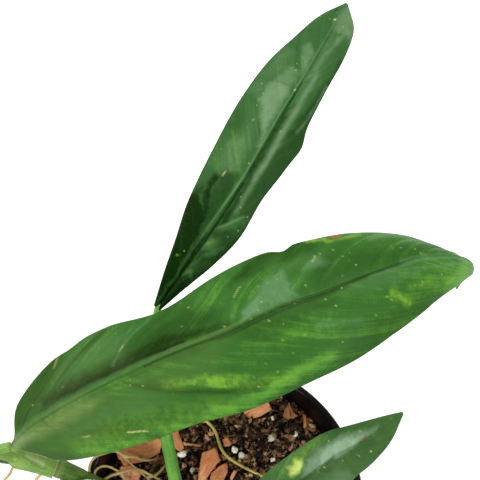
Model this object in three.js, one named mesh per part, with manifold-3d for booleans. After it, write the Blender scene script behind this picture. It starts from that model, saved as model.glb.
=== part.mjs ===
// Potted philodendron barrosoanum: a young creeping plant with three entire leaves, in a 12 cm nursery pot.
// Millimetres, +Z up. The origin is the middle of the pot's flat underside, and +Y points away from the
// side that the plant is looked at from.

import * as THREE from "three";
import { mergeVertices } from "three/addons/utils/BufferGeometryUtils.js";
import Module from "manifold-3d";

const wasm = await Module();
wasm.setup();

// Pot
const POT_HEIGHT = 100;
const RIM_RADIUS = 60;
const RIM_INSIDE_RADIUS = 56.8;
const RIM_SKIRT = 8;
const BASE_RADIUS = 43;
const WALL = 1.4;
const FLOOR_TOP = 4.2;
const FOOT_HEIGHT = 2.4;
const FOOT_INNER_RADIUS = 36;
const FOOT_OUTER_RADIUS = 41;
const BASE_DISC_RADIUS = 24;
const POT_SEGMENTS = 44;
const DRAIN_SLOTS = 8;
const DRAIN_SLOT_LENGTH = 7;
const DRAIN_SLOT_WIDTH = 5;

// Potting mix
const MIX_EDGE_HEIGHT = 80;
const MIX_MIDDLE_HEIGHT = 84.5;
const MIX_LUMP = 0.8;
const MIX_SEGMENTS = 40;
const MIX_RINGS = 11;

// Clearance between neighbouring pieces
const GAP = 0.3;

// Leaf blades
const BLADE_THICKNESS = 0.9;
const BLADE_COLUMNS = 5;
const GROOVE = 0.35;
const FOLD_STEPS = 12;
const TANGENT_STEP = 0.001;
const LEAST_HALF_WIDTH = 0.3;
const RIB_NARROWING = 0.75;
const RIB_SHARE = 0.45;
const KEEL_AT_TIP = 0.12;
const KEEL_SHOULDER = 0.3;

// Upper leaf, on the long petiole. Points follow the midrib from base to tip, and the width and fold
// lists are spread evenly along it. Left and right are as seen from above with the tip ahead.
const LEAF_A = {
  midrib: [
    [-27, 78, 134], [-16, 92, 141], [-4, 109, 146], [9, 130, 149],
    [22, 155, 149], [36, 181, 146], [48, 205, 141], [57, 222, 137],
  ],
  left: [1.7, 6, 10, 14.5, 17.2, 18.5, 18.7, 17.2, 12.3, 7.3, 0.6],
  right: [1.8, 5, 9.2, 12.2, 11.7, 14.2, 13.4, 12.4, 12.2, 9.4, 0.6],
  leftFold: [25, 18, 15, 12, 10],
  leftEdge: [0, -10, -20, -15, 0],
  rightFold: [30, 25, 20, 15, 10],
  rightEdge: [-20, -30, -40, -25, 0],
  leftNotches: [],
  rightNotches: [[0.545, 0.035, 1.8]],
  keel: 2.3,
  rows: 30,
};

// Broad leaf that arches over the pot and hangs its drip tip on the far side.
const LEAF_B = {
  midrib: [
    [-85, 24, 124], [-74.6, 31.2, 133], [-57, 39.9, 144], [-38, 48, 153], [-19, 56, 158],
    [0, 63, 161], [19, 72, 162], [38, 79, 161], [57, 87, 157], [78, 95, 150],
    [95.5, 98, 140.6], [106.6, 97.4, 128.2], [105.6, 94.2, 116], [105.2, 91.8, 109],
  ],
  left: [1.7, 12.3, 21, 23, 19.3, 22.6, 22.4, 22, 19.4, 13.6, 7.6, 5, 2.6, 0.6],
  right: [2, 16.7, 23.8, 26.8, 28, 30, 30.5, 28.9, 25.2, 19.6, 12.2, 4.2, 1.5, 0.6],
  leftFold: [0, -35, -45, -30, 10, 22, -30, -75, -85],
  leftEdge: [10, 5, -10, -20, -35, -50, -60, -80, -85],
  rightFold: [-5, -5, -5, 0, 12, 15, 8, -5, -20],
  rightEdge: [-20, -20, -20, -20, -25, -25, -25, -20, -15],
  leftNotches: [[0.024, 0.024, -3.5], [0.165, 0.018, -1], [0.505, 0.014, -1.8]],
  rightNotches: [],
  keel: 2.6,
  rows: 40,
};

// Small youngest leaf, close to the crown.
const LEAF_C = {
  midrib: [
    [1, -7, 112], [16, 2, 118], [33, 12, 121], [45, 20, 121], [57, 26, 119], [76, 37, 112],
  ],
  left: [1.6, 5, 7.8, 10.2, 11, 10.8, 10, 8.8, 7.2, 4.3, 0.6],
  right: [1.6, 6.2, 10.2, 13.2, 13.2, 12.7, 12, 10.8, 9.4, 6.6, 0.6],
  leftFold: [30, 30, 30, 25, 15],
  leftEdge: [20, 10, 0, -5, 0],
  rightFold: [25, 25, 20, 15, 10],
  rightEdge: [0, -5, -10, -10, 0],
  leftNotches: [],
  rightNotches: [],
  keel: 1.7,
  rows: 20,
};

// Stem, from its rooted end in the mix to the growing end past the rim
const STEM_PATH = [
  [4, -18, 76], [-4, -13.5, 81.5], [-14, -8, 86.5], [-26, -4, 91], [-40, 0.5, 97],
  [-56, 8.6, 105], [-68, 14.6, 109.6], [-83, 18.8, 112.6], [-98, 21.2, 113.6], [-112, 23, 114],
];
const STEM_RADIUS = 4.2;
const STEM_TAPER = 0.9;
const STEM_STEPS = 44;
const STALK_SIDES = 12;
const STEM_NODES = [0.12, 0.3, 0.5, 0.66, 0.87];
const STEM_NODE_SWELL = 0.5;
const STEM_NODE_LENGTH = 0.012;

// Petioles
const PETIOLE_BASE_SWELL = 0.45;
const PETIOLE_CHANNEL = 0.12;
const PETIOLE_A = {
  radius: 2.6,
  steps: 26,
  path: [
    [-14, -9, 86], [-16.5, -3, 89], [-19.2, 3, 93.5], [-20.8, 9.8, 100], [-22.3, 20, 110],
    [-23.8, 29, 117], [-27, 45, 124], [-28.7, 61, 129], [-27.2, 77, 133.2],
  ],
};
const PETIOLE_B = {
  radius: 2,
  steps: 14,
  path: [
    [-85, 19.2, 115], [-88.4, 20, 117.4], [-90.8, 20.8, 119.4],
    [-91.2, 21.6, 121.2], [-89.4, 22.5, 122.6], [-85.6, 23.4, 123.2],
  ],
};
const PETIOLE_C = {
  radius: 1.8,
  steps: 10,
  path: [[-3, -14, 84], [-6, -16, 93], [-6, -15, 102], [-3, -11, 109], [1, -7, 111.8]],
};

// Sheaths wrapped round the stem: from and to are places along it, and the angles are measured round it
// from straight up, positive towards the front.
const SHEATH_B = {
  from: 0.67, to: 0.9, gap: 0.35, wall: 0.7,
  back: [-62, -62, -58, -50, -25], front: [250, 245, 235, 150, 30], flare: 0.4,
};
const SHEATH_OLD = {
  from: 0.53, to: 0.635, gap: 0.35, wall: 0.7,
  back: [-30, -28, -8, 30, 75], front: [200, 215, 220, 215, 205], flare: 0.4,
};
const SHEATH_ROWS = 10;
const SHEATH_COLUMNS = 10;

// Young pointed sheath round the growing tip
const TIP_PATH = [
  [-112.4, 24.1, 114], [-120, 25.5, 115], [-128, 27, 117.5], [-136, 28.5, 122],
];
const TIP_RADII = [3, 3.4, 3, 2, 0.4];
const TIP_SIDES = 10;
const TIP_STEPS = 10;

// Aerial roots, each list of paths grown together where they cross
const ROOT_OUTER_1 = [
  {
    radius: 0.6,
    path: [[-86.5, 17.6, 111], [-90.8, 12.5, 104], [-95.5, 9.2, 96], [-99.5, 5, 84], [-98, 1, 74]],
  },
];
const ROOT_OUTER_2 = [
  { radius: 0.75, path: [[-75.1, 15.2, 109], [-78.3, 12, 102], [-82.3, 8.9, 94], [-84, 4.4, 82]] },
];
const ROOT_OUTER_3 = [
  {
    radius: 0.85,
    path: [[-70.4, 14.5, 107], [-70, 11.7, 101], [-69.2, 8.8, 93], [-69, 3.9, 80], [-70, -0.7, 70]],
  },
];
const ROOTS_LEFT = [
  {
    radius: 0.5,
    path: [
      [-56.7, 11.4, 104], [-56.7, 15.5, 106], [-54.6, 19, 106], [-50.6, 20.8, 101], [-47.1, 21, 94],
      [-43.9, 17.8, 90.5], [-40, 14.1, 88.5], [-34.8, 9.8, 86.2], [-30.4, 5.6, 80],
    ],
  },
  {
    radius: 0.5,
    path: [
      [-54.5, 10.6, 104], [-54.8, 13.2, 102.5], [-53, 15, 100], [-49.9, 14.7, 96],
      [-46.7, 12.5, 91], [-44.5, 9.2, 87], [-42.7, 5.2, 80],
    ],
  },
  {
    radius: 0.65,
    path: [
      [-54.1, 7.2, 101], [-51.5, 9.7, 97.5], [-48.7, 11.4, 94], [-43.3, 12.9, 90],
      [-38.3, 13.3, 88], [-33.9, 11.4, 87], [-29, 8.9, 86], [-24, 5.6, 80],
    ],
  },
  {
    radius: 0.6,
    path: [[-47.1, 21, 94], [-44.4, 19.1, 91], [-40.2, 18.5, 88.5], [-35.9, 17.3, 87], [-30, 17.9, 80]],
  },
  { radius: 0.6, path: [[-33.8, 10.2, 87], [-30.8, 11, 86.4], [-27.8, 14, 85.6], [-26.8, 15.9, 79]] },
];
const ROOT_MIDDLE = [
  {
    radius: 0.7,
    path: [
      [-14, 35, 79], [-10.5, 34.3, 85.4], [-8.1, 34, 86.6], [-5.3, 31.3, 86.6], [-3.4, 27.4, 86.4],
      [-1.4, 22, 86.4], [1.6, 18.7, 86.4], [5.6, 16.1, 86.2], [11.5, 13.1, 85.8], [16.5, 10.7, 85.4],
      [21, 7.7, 79],
    ],
  },
];
const ROOT_SIDES = 6;
const ROOT_STEP = 3;
const ROOT_TAPER = 0.35;

// Bark chips: outlines in plan, thickness, tilt in degrees about x and y, and how far the middle of the
// chip stands above the mix
const CHIPS_SEEN = [
  {
    outline: [
      [-3.6, 23.1], [-1.6, 17.4], [-3.4, 15.6], [-6.2, 12.4],
      [-9, 8.4], [-12.6, 8.2], [-10.9, 16.6], [-10, 20.6],
    ],
    thickness: 2.6, tilt: [6, -14], lift: 1.6,
  },
  {
    outline: [[-2.6, 15], [1.2, 16.2], [1.6, 12.6], [-0.6, 8.4], [-6.9, 7.6], [-6, 11.6]],
    thickness: 2.2, tilt: [-10, 10], lift: 1.5,
  },
  {
    outline: [[4.4, 13.4], [5.6, 12.8], [2.8, 7.6], [1.4, 8.2]],
    thickness: 1.8, tilt: [8, 0], lift: 1,
  },
  {
    outline: [[-50, 20.6], [-44, 25.4], [-33, 28.6], [-28.6, 26], [-30, 20.4], [-37, 16.6], [-46, 15]],
    thickness: 3, tilt: [8, 6], lift: 1.2,
  },
  {
    outline: [[-24.4, 30.6], [-21.6, 30.2], [-18.6, 22.6], [-20.6, 20.8], [-23.6, 23.4]],
    thickness: 2, tilt: [-6, 12], lift: 0.9,
  },
  {
    outline: [[8.6, 38.6], [13, 42], [20.6, 43.4], [22, 39.6], [16.4, 36.6], [11, 35.4]],
    thickness: 2.4, tilt: [12, -8], lift: 1.3,
  },
  {
    outline: [[26.6, 36.6], [29.8, 43.4], [32, 38.6], [34.4, 37], [30.2, 34.8]],
    thickness: 2, tilt: [10, 14], lift: 1.2,
  },
  {
    outline: [[36.4, 38.2], [38, 37.6], [38.2, 31.6], [36.6, 31.4]],
    thickness: 1.8, tilt: [14, -6], lift: 1.1,
  },
  {
    outline: [[-19.4, 25.4], [-10.9, 24], [-11.2, 22.9], [-19, 23.9]],
    thickness: 1.6, tilt: [0, 8], lift: 0.6,
  },
  {
    outline: [[-1.3, 26.6], [1.4, 27.4], [3.2, 25], [2.2, 23.4], [-0.2, 23]],
    thickness: 2, tilt: [-12, 6], lift: 0.8,
  },
  {
    outline: [[-49.2, 11.4], [-47.4, 15.2], [-42.6, 15.4], [-38, 12.9], [-38.6, 8.6], [-44.6, 7]],
    thickness: 2.4, tilt: [6, -6], lift: 0.6,
  },
];
const CHIPS_NEAR = 9;
const CHIP_BEVEL = 0.35;

// Perlite grains: place in plan and size
const GRAINS_SEEN = [
  { at: [-19.5, 20], size: [2.4, 1.5, 1.2], turn: 12 },
  { at: [21.2, 27], size: [1.6, 1.9, 1.4], turn: 0 },
  { at: [4.6, 21.8], size: [1.6, 1.7, 1.4], turn: 30 },
  { at: [7.6, 19.2], size: [1.7, 1.8, 1.4], turn: 0 },
  { at: [22.3, 35.9], size: [1.3, 1.2, 1], turn: 0 },
  { at: [32.7, 28.8], size: [1.3, 1.4, 1.1], turn: 0 },
  { at: [-14.6, 12.7], size: [1.2, 1.5, 1], turn: 0 },
  { at: [22, 17.4], size: [1.5, 1.3, 1.1], turn: 40 },
];
const GRAINS_NEAR = 5;
const GRAIN_CIRCLE = 34;
const DRAW_SEED = 4021;

const group = new THREE.Group();
group.name = "potted_philodendron_barrosoanum";

// Repeatable draw between 0 and 1
function seededDraw(seed) {
  let state = seed;
  return () => {
    state = (state + 0x6d2b79f5) | 0;
    let mixed = Math.imul(state ^ (state >>> 15), 1 | state);
    mixed = (mixed + Math.imul(mixed ^ (mixed >>> 7), 61 | mixed)) ^ mixed;
    return ((mixed ^ (mixed >>> 14)) >>> 0) / 4294967296;
  };
}

function vector(point) {
  return new THREE.Vector3(point[0], point[1], point[2]);
}

function curveThrough(points) {
  return new THREE.CatmullRomCurve3(points.map(vector), false, "catmullrom", 0.5);
}

// Value of an evenly spread list at t, on a smooth curve through its entries
function spread(list, t) {
  const last = list.length - 1;
  const place = Math.min(Math.max(t, 0), 1) * last;
  const i = Math.min(Math.floor(place), last - 1);
  const f = place - i;
  const before = i > 0 ? list[i - 1] : 2 * list[0] - list[1];
  const after = i + 2 <= last ? list[i + 2] : 2 * list[last] - list[last - 1];
  const b = list[i];
  const c = list[i + 1];
  const square = 2 * before - 5 * b + 4 * c - after;
  const cube = 3 * b - before - 3 * c + after;
  return 0.5 * (2 * b + (c - before) * f + square * f * f + cube * f * f * f);
}

// Closed solid from a closed geometry, turned right side out
function toSolid(geometry) {
  geometry.deleteAttribute("normal");
  geometry.deleteAttribute("uv");
  const merged = mergeVertices(geometry, 1e-3);
  const vertProperties = Float32Array.from(merged.attributes.position.array);
  const triVerts = [];
  let volume = 0;
  const corner = [new THREE.Vector3(), new THREE.Vector3(), new THREE.Vector3()];
  for (let i = 0; i < merged.index.count; i += 3) {
    const [a, b, c] = [0, 1, 2].map((k) => merged.index.getX(i + k));
    if (a === b || b === c || c === a) continue;
    triVerts.push(a, b, c);
    [a, b, c].forEach((vertex, k) => corner[k].fromBufferAttribute(merged.attributes.position, vertex));
    volume += corner[0].dot(corner[1].clone().cross(corner[2]));
  }
  if (volume < 0) triVerts.reverse();
  return new wasm.Manifold(new wasm.Mesh({ numProp: 3, vertProperties, triVerts: Uint32Array.from(triVerts) }));
}

// Largest connected body of a solid
function wholeBody(solid) {
  return solid.decompose().reduce((a, b) => (a.volume() > b.volume() ? a : b));
}

function addPiece(name, solid, color, roughness) {
  const mesh = wholeBody(solid).getMesh();
  const geometry = new THREE.BufferGeometry();
  geometry.setAttribute("position", new THREE.BufferAttribute(Float32Array.from(mesh.vertProperties), 3));
  geometry.setIndex(Array.from(mesh.triVerts));
  geometry.computeVertexNormals();
  const material = new THREE.MeshStandardMaterial({ color, roughness, metalness: 0 });
  const piece = new THREE.Mesh(geometry, material);
  piece.name = name;
  group.add(piece);
}

// Solid between two grids of points with the same rows and columns
function sheetSolid(top, bottom) {
  const rows = top.length;
  const columns = top[0].length;
  const points = [...top.flat(), ...bottom.flat()];
  const at = (row, column) => row * columns + column;
  const under = rows * columns;
  const index = [];
  const wall = (a, b) => index.push(a, under + a, under + b, a, under + b, b);
  for (let i = 0; i < rows - 1; i += 1) {
    for (let j = 0; j < columns - 1; j += 1) {
      const [a, b, c, d] = [at(i, j), at(i, j + 1), at(i + 1, j + 1), at(i + 1, j)];
      index.push(a, b, c, a, c, d);
      index.push(under + a, under + c, under + b, under + a, under + d, under + c);
    }
    wall(at(i + 1, 0), at(i, 0));
    wall(at(i, columns - 1), at(i + 1, columns - 1));
  }
  for (let j = 0; j < columns - 1; j += 1) {
    wall(at(0, j), at(0, j + 1));
    wall(at(rows - 1, j + 1), at(rows - 1, j));
  }
  const geometry = new THREE.BufferGeometry();
  geometry.setAttribute("position", new THREE.Float32BufferAttribute(points.flatMap((p) => p.toArray()), 3));
  geometry.setIndex(index);
  return toSolid(geometry);
}

// Solid swept along a curve: radiusAt(u) gives its radius and outline(angle) the shape of its section
function sweptSolid(path, radiusAt, sides, steps, outline = () => 1) {
  const curve = curveThrough(path);
  const frames = curve.computeFrenetFrames(steps, false);
  const points = [];
  const index = [];
  for (let i = 0; i <= steps; i += 1) {
    const centre = curve.getPointAt(i / steps);
    for (let k = 0; k < sides; k += 1) {
      const angle = (2 * Math.PI * k) / sides;
      const reach = radiusAt(i / steps) * outline(angle);
      const across = frames.normals[i].clone().multiplyScalar(reach * Math.cos(angle));
      const along = frames.binormals[i].clone().multiplyScalar(reach * Math.sin(angle));
      points.push(centre.clone().add(across).add(along));
    }
  }
  const first = points.push(curve.getPointAt(0)) - 1;
  const last = points.push(curve.getPointAt(1)) - 1;
  for (let k = 0; k < sides; k += 1) {
    const next = (k + 1) % sides;
    for (let i = 0; i < steps; i += 1) {
      const a = i * sides + k;
      const b = i * sides + next;
      index.push(a, b, b + sides, a, b + sides, a + sides);
    }
    index.push(first, next, k);
    index.push(last, steps * sides + k, steps * sides + next);
  }
  const geometry = new THREE.BufferGeometry();
  geometry.setAttribute("position", new THREE.Float32BufferAttribute(points.flatMap((p) => p.toArray()), 3));
  geometry.setIndex(index);
  return toSolid(geometry);
}

// Frames along a midrib that turn with it but never twist: forward, side and up
function midribFrames(leaf) {
  const curve = curveThrough(leaf.midrib);
  const frames = [];
  for (let i = 0; i <= leaf.rows; i += 1) {
    const t = i / leaf.rows;
    const ahead = curve.getPoint(Math.min(t + TANGENT_STEP, 1));
    const forward = ahead.sub(curve.getPoint(Math.max(t - TANGENT_STEP, 0))).normalize();
    const side = i === 0 ? forward.clone().cross(new THREE.Vector3(0, 0, 1)) : frames[i - 1].side.clone();
    side.addScaledVector(forward, -side.dot(forward)).normalize();
    frames.push({ t, centre: curve.getPoint(t), forward, side, up: side.clone().cross(forward) });
  }
  return frames;
}

// Smooth bump of height 1 round a place
function bellAt(u, place, length) {
  return Math.exp(-(((u - place) / length) ** 2));
}

// How far a blade reaches at t on one side, with its notches and bumps
function halfWidth(widths, notches, t) {
  const bumps = notches.reduce((sum, [place, length, depth]) => sum + depth * bellAt(t, place, length), 0);
  return Math.max(spread(widths, t), LEAST_HALF_WIDTH) + bumps;
}

// One cross line of a blade on one side, from the midrib to the margin
function bladeLine(leaf, frame, name, sign, grow) {
  const reach = halfWidth(leaf[name], leaf[`${name}Notches`], frame.t) + grow;
  const fold = THREE.MathUtils.degToRad(spread(leaf[`${name}Fold`], frame.t));
  const edge = THREE.MathUtils.degToRad(spread(leaf[`${name}Edge`], frame.t));
  const keelReach = Math.min((leaf.keel * (1 - RIB_NARROWING * frame.t)) / reach, RIB_SHARE);
  const line = [];
  for (let j = 0; j <= BLADE_COLUMNS; j += 1) {
    const share = j === 0 ? 0 : keelReach + ((1 - keelReach) * (j - 1)) / (BLADE_COLUMNS - 1);
    let across = 0;
    let height = 0;
    for (let k = 0; k < FOLD_STEPS; k += 1) {
      const angle = fold + ((edge - fold) * share * (k + 0.5)) / FOLD_STEPS;
      across += Math.cos(angle) / FOLD_STEPS;
      height += Math.sin(angle) / FOLD_STEPS;
    }
    const point = frame.centre.clone().addScaledVector(frame.side, sign * reach * share * across);
    line.push(point.addScaledVector(frame.up, reach * share * height));
  }
  return line;
}

// A blade: a thin sheet with a groove along the top of its midrib and a tapering keel below
function bladeSolid(leaf, grow = 0) {
  const frames = midribFrames(leaf);
  frames[0].centre.addScaledVector(frames[0].forward, -grow);
  const grid = frames.map((frame) => {
    const left = bladeLine(leaf, frame, "left", -1, grow).reverse();
    const right = bladeLine(leaf, frame, "right", 1, grow);
    return [...left, ...right.slice(1)];
  });
  const top = [];
  const bottom = [];
  grid.forEach((row, i) => {
    const keelDepth = leaf.keel * (KEEL_AT_TIP + (1 - KEEL_AT_TIP) * (1 - frames[i].t) ** 1.6);
    const topRow = [];
    const bottomRow = [];
    row.forEach((point, j) => {
      const nextRow = grid[Math.min(i + 1, grid.length - 1)][j];
      const lastRow = grid[Math.max(i - 1, 0)][j];
      const along = nextRow.clone().sub(lastRow);
      const across = row[Math.min(j + 1, row.length - 1)].clone().sub(row[Math.max(j - 1, 0)]);
      const normal = across.cross(along).normalize();
      const onRib = j === BLADE_COLUMNS;
      const byRib = Math.abs(j - BLADE_COLUMNS) === 1;
      const rise = BLADE_THICKNESS / 2 + grow - (onRib ? GROOVE : 0);
      const keel = (onRib ? keelDepth : 0) + (byRib ? KEEL_SHOULDER * keelDepth : 0);
      const drop = BLADE_THICKNESS / 2 + grow + keel;
      topRow.push(point.clone().addScaledVector(normal, rise));
      bottomRow.push(point.clone().addScaledVector(normal, -drop));
    });
    top.push(topRow);
    bottom.push(bottomRow);
  });
  return sheetSolid(top, bottom);
}

// Radius of the stem at u, with a slight swelling at each joint
function stemRadius(u) {
  const swell = STEM_NODES.reduce((sum, place) => sum + bellAt(u, place, STEM_NODE_LENGTH), 0);
  return STEM_RADIUS - STEM_TAPER * u + STEM_NODE_SWELL * swell;
}

function stemSolid(grow = 0) {
  return sweptSolid(STEM_PATH, (u) => stemRadius(u) + grow, STALK_SIDES, STEM_STEPS);
}

// Petiole with a shallow channel along it, thicker where it clasps the stem
function petioleSolid(petiole, grow = 0) {
  const radiusAt = (u) => petiole.radius * (1 + PETIOLE_BASE_SWELL * (1 - u) ** 6) + grow;
  const channel = (angle) => 1 - PETIOLE_CHANNEL * Math.max(Math.cos(angle), 0) ** 4;
  return sweptSolid(petiole.path, radiusAt, STALK_SIDES, petiole.steps, channel);
}

// Thin sheath wrapped part of the way round the stem
function sheathSolid(sheath, grow = 0) {
  const curve = curveThrough(STEM_PATH);
  const inside = [];
  const outside = [];
  for (let i = 0; i <= SHEATH_ROWS; i += 1) {
    const share = i / SHEATH_ROWS;
    const u = sheath.from + (sheath.to - sheath.from) * share;
    const centre = curve.getPointAt(u);
    const along = curve.getTangentAt(u);
    const up = new THREE.Vector3(0, 0, 1);
    up.addScaledVector(along, -along.z).normalize();
    const front = up.clone().cross(along);
    const back = spread(sheath.back, share);
    const ahead = spread(sheath.front, share);
    const insideRow = [];
    const outsideRow = [];
    for (let j = 0; j <= SHEATH_COLUMNS; j += 1) {
      const angle = THREE.MathUtils.degToRad(back + ((ahead - back) * j) / SHEATH_COLUMNS);
      const fromMiddle = Math.abs(j / SHEATH_COLUMNS - 0.5) * 2;
      const flare = sheath.flare * share * fromMiddle ** 2;
      const spoke = up.clone().multiplyScalar(Math.cos(angle)).addScaledVector(front, Math.sin(angle));
      const inner = stemRadius(u) + sheath.gap + flare - grow;
      insideRow.push(centre.clone().addScaledVector(spoke, inner));
      outsideRow.push(centre.clone().addScaledVector(spoke, inner + sheath.wall + 2 * grow));
    }
    inside.push(insideRow);
    outside.push(outsideRow);
  }
  return sheetSolid(outside, inside);
}

// Roots that taper to a blunt tip, grown together
function rootSolid(roots, grow = 0) {
  const parts = roots.map((root) => {
    const length = curveThrough(root.path).getLength();
    const radiusAt = (u) => root.radius * (1 - ROOT_TAPER * u ** 4) + grow;
    return sweptSolid(root.path, radiusAt, ROOT_SIDES, Math.round(length / ROOT_STEP));
  });
  return parts.reduce((a, b) => a.add(b));
}

// Radius of the pot's inner wall at a height
function insideRadius(z) {
  const floorRadius = BASE_RADIUS - WALL;
  return floorRadius + ((RIM_INSIDE_RADIUS - floorRadius) * (z - FLOOR_TOP)) / (POT_HEIGHT - 1 - FLOOR_TOP);
}

function lathedSolid(profile, segments) {
  const geometry = new THREE.LatheGeometry(profile.map(([x, y]) => new THREE.Vector2(x, y)), segments);
  return toSolid(geometry.rotateX(Math.PI / 2));
}

// Slot through the base, round at both ends
function drainSlot(turn) {
  const reach = (DRAIN_SLOT_LENGTH - DRAIN_SLOT_WIDTH) / 2;
  const radius = DRAIN_SLOT_WIDTH / 2;
  const shape = new THREE.Shape();
  shape.absarc(reach, 0, radius, -Math.PI / 2, Math.PI / 2, false);
  shape.absarc(-reach, 0, radius, Math.PI / 2, (3 * Math.PI) / 2, false);
  const depth = FLOOR_TOP + 2;
  const slot = new THREE.ExtrudeGeometry(shape, { depth, bevelEnabled: false, curveSegments: 5 });
  const middle = (BASE_DISC_RADIUS + FOOT_INNER_RADIUS) / 2;
  slot.translate(middle, 0, -1);
  slot.rotateZ(turn);
  return toSolid(slot);
}

// Nursery pot: thin tapered wall, skirted rim, raised ring in the base with drain slots
function potSolid() {
  const shoulder = POT_HEIGHT - RIM_SKIRT;
  const profile = [
    [0, 0],
    [BASE_DISC_RADIUS, 0],
    [BASE_DISC_RADIUS + 1, FOOT_HEIGHT],
    [FOOT_INNER_RADIUS - 1, FOOT_HEIGHT],
    [FOOT_INNER_RADIUS, 0],
    [FOOT_OUTER_RADIUS, 0],
    [BASE_RADIUS, 1.6],
    [insideRadius(shoulder) + WALL, shoulder],
    [RIM_RADIUS - 0.8, shoulder + 0.3],
    [RIM_RADIUS - 0.1, shoulder + 1.2],
    [RIM_RADIUS, POT_HEIGHT - 1.4],
    [RIM_RADIUS - 0.6, POT_HEIGHT - 0.4],
    [RIM_RADIUS - 1.6, POT_HEIGHT],
    [RIM_INSIDE_RADIUS + 0.6, POT_HEIGHT - 0.3],
    [RIM_INSIDE_RADIUS, POT_HEIGHT - 1],
    [BASE_RADIUS - WALL, FLOOR_TOP],
    [0, FLOOR_TOP],
  ];
  let pot = lathedSolid(profile, POT_SEGMENTS);
  for (let i = 0; i < DRAIN_SLOTS; i += 1) {
    pot = pot.subtract(drainSlot((2 * Math.PI * (i + 0.5)) / DRAIN_SLOTS));
  }
  return pot;
}

// Height of the mix at a place: a low mound with small lumps that fade out at the wall
function mixHeight(x, y) {
  const radius = Math.hypot(x, y);
  const share = Math.min(radius / insideRadius(MIX_EDGE_HEIGHT), 1);
  const mound = MIX_EDGE_HEIGHT + (MIX_MIDDLE_HEIGHT - MIX_EDGE_HEIGHT) * (1 - share ** 2);
  const coarse = Math.sin(0.31 * x + 1.3) * Math.cos(0.27 * y - 0.4);
  const fine = Math.sin(0.62 * x - 0.35 * y) * Math.cos(0.71 * y + 0.3 * x + 2);
  return mound + MIX_LUMP * (coarse + fine) * (1 - share ** 6);
}

function mixSolid() {
  const edge = insideRadius(MIX_EDGE_HEIGHT) - GAP;
  const bottom = FLOOR_TOP + GAP;
  const profile = [[0, bottom], [insideRadius(bottom) - GAP, bottom]];
  for (let i = 0; i <= MIX_RINGS; i += 1) {
    profile.push([edge * (1 - i / MIX_RINGS), MIX_EDGE_HEIGHT]);
  }
  const geometry = new THREE.LatheGeometry(profile.map(([x, y]) => new THREE.Vector2(x, y)), MIX_SEGMENTS);
  geometry.rotateX(Math.PI / 2);
  const places = geometry.attributes.position;
  for (let i = 0; i < places.count; i += 1) {
    if (places.getZ(i) > MIX_EDGE_HEIGHT - 1) {
      places.setZ(i, mixHeight(places.getX(i), places.getY(i)));
    }
  }
  return toSolid(geometry);
}

// Flat flake of bark with worn edges, half sunk in the mix
function chipSolid(chip, grow = 0) {
  const count = chip.outline.length;
  const middle = chip.outline.reduce((sum, [x, y]) => [sum[0] + x / count, sum[1] + y / count], [0, 0]);
  const shape = new THREE.Shape(chip.outline.map(([x, y]) => new THREE.Vector2(x - middle[0], y - middle[1])));
  const geometry = new THREE.ExtrudeGeometry(shape, {
    depth: chip.thickness - 2 * CHIP_BEVEL + 2 * grow,
    bevelEnabled: true,
    bevelThickness: CHIP_BEVEL,
    bevelSize: CHIP_BEVEL,
    bevelOffset: grow - CHIP_BEVEL,
    bevelSegments: 1,
  });
  geometry.translate(0, 0, CHIP_BEVEL - chip.thickness / 2 - grow);
  geometry.rotateX(THREE.MathUtils.degToRad(chip.tilt[0]));
  geometry.rotateY(THREE.MathUtils.degToRad(chip.tilt[1]));
  geometry.translate(middle[0], middle[1], mixHeight(middle[0], middle[1]) + chip.lift);
  return toSolid(geometry);
}

// Rounded grain of perlite
function grainSolid(grain, grow = 0) {
  const geometry = new THREE.OctahedronGeometry(1, 1);
  geometry.scale(...grain.size.map((radius) => radius + grow));
  geometry.rotateZ(THREE.MathUtils.degToRad(grain.turn));
  geometry.translate(grain.at[0], grain.at[1], mixHeight(grain.at[0], grain.at[1]) + 0.45 * grain.size[2]);
  return toSolid(geometry);
}

// Places on the near half of the mix, clear of the crown and of each other
function nearPlaces(count, draw) {
  const places = [];
  for (let i = 0; i < count; i += 1) {
    const angle = THREE.MathUtils.degToRad(190 + (170 * (i + 0.3 + 0.4 * draw())) / count);
    const radius = i % 2 === 0 ? 24 + 6 * draw() : 40 + 6 * draw();
    places.push([radius * Math.cos(angle), radius * Math.sin(angle)]);
  }
  return places;
}

function nearChips(draw) {
  return nearPlaces(CHIPS_NEAR, draw).map(([x, y]) => {
    const long = 4 + 3 * draw();
    const wide = 2.2 + 1.6 * draw();
    const turn = Math.PI * draw();
    const outline = [0, 1, 2, 3, 4, 5].map((k) => {
      const angle = (Math.PI * (k + 0.5 * draw())) / 3;
      const along = long * Math.cos(angle);
      const across = wide * Math.sin(angle);
      return [
        x + along * Math.cos(turn) - across * Math.sin(turn),
        y + along * Math.sin(turn) + across * Math.cos(turn),
      ];
    });
    const tilt = [16 * draw() - 8, 16 * draw() - 8];
    return { outline, thickness: 1.8 + draw(), tilt, lift: 1 };
  });
}

// The near grains lie on a circle of their own, between the two rows of near chips
function nearGrains(draw) {
  return nearPlaces(GRAINS_NEAR, draw).map(([x, y]) => {
    const shift = GRAIN_CIRCLE / Math.hypot(x, y);
    const size = [1.4 + 0.5 * draw(), 1.3 + 0.4 * draw(), 1.1];
    return { at: [x * shift, y * shift], size, turn: 180 * draw() };
  });
}

const POT_COLOR = 0x15161a;
const MIX_COLOR = 0x3a2a22;
const STEM_COLOR = 0x4d7a3c;
const SHEATH_COLOR = 0x8aa863;
const PETIOLE_COLOR = 0x4c8f43;
const UPPER_BLADE_COLOR = 0x2f5e30;
const BROAD_BLADE_COLOR = 0x3f7d33;
const SMALL_BLADE_COLOR = 0x3f7a46;
const ROOT_COLOR = 0xcdb07a;
const OLIVE_ROOT_COLOR = 0xa99848;
const BARK_COLOR = 0xb0704a;
const PERLITE_COLOR = 0xefe9d8;

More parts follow.
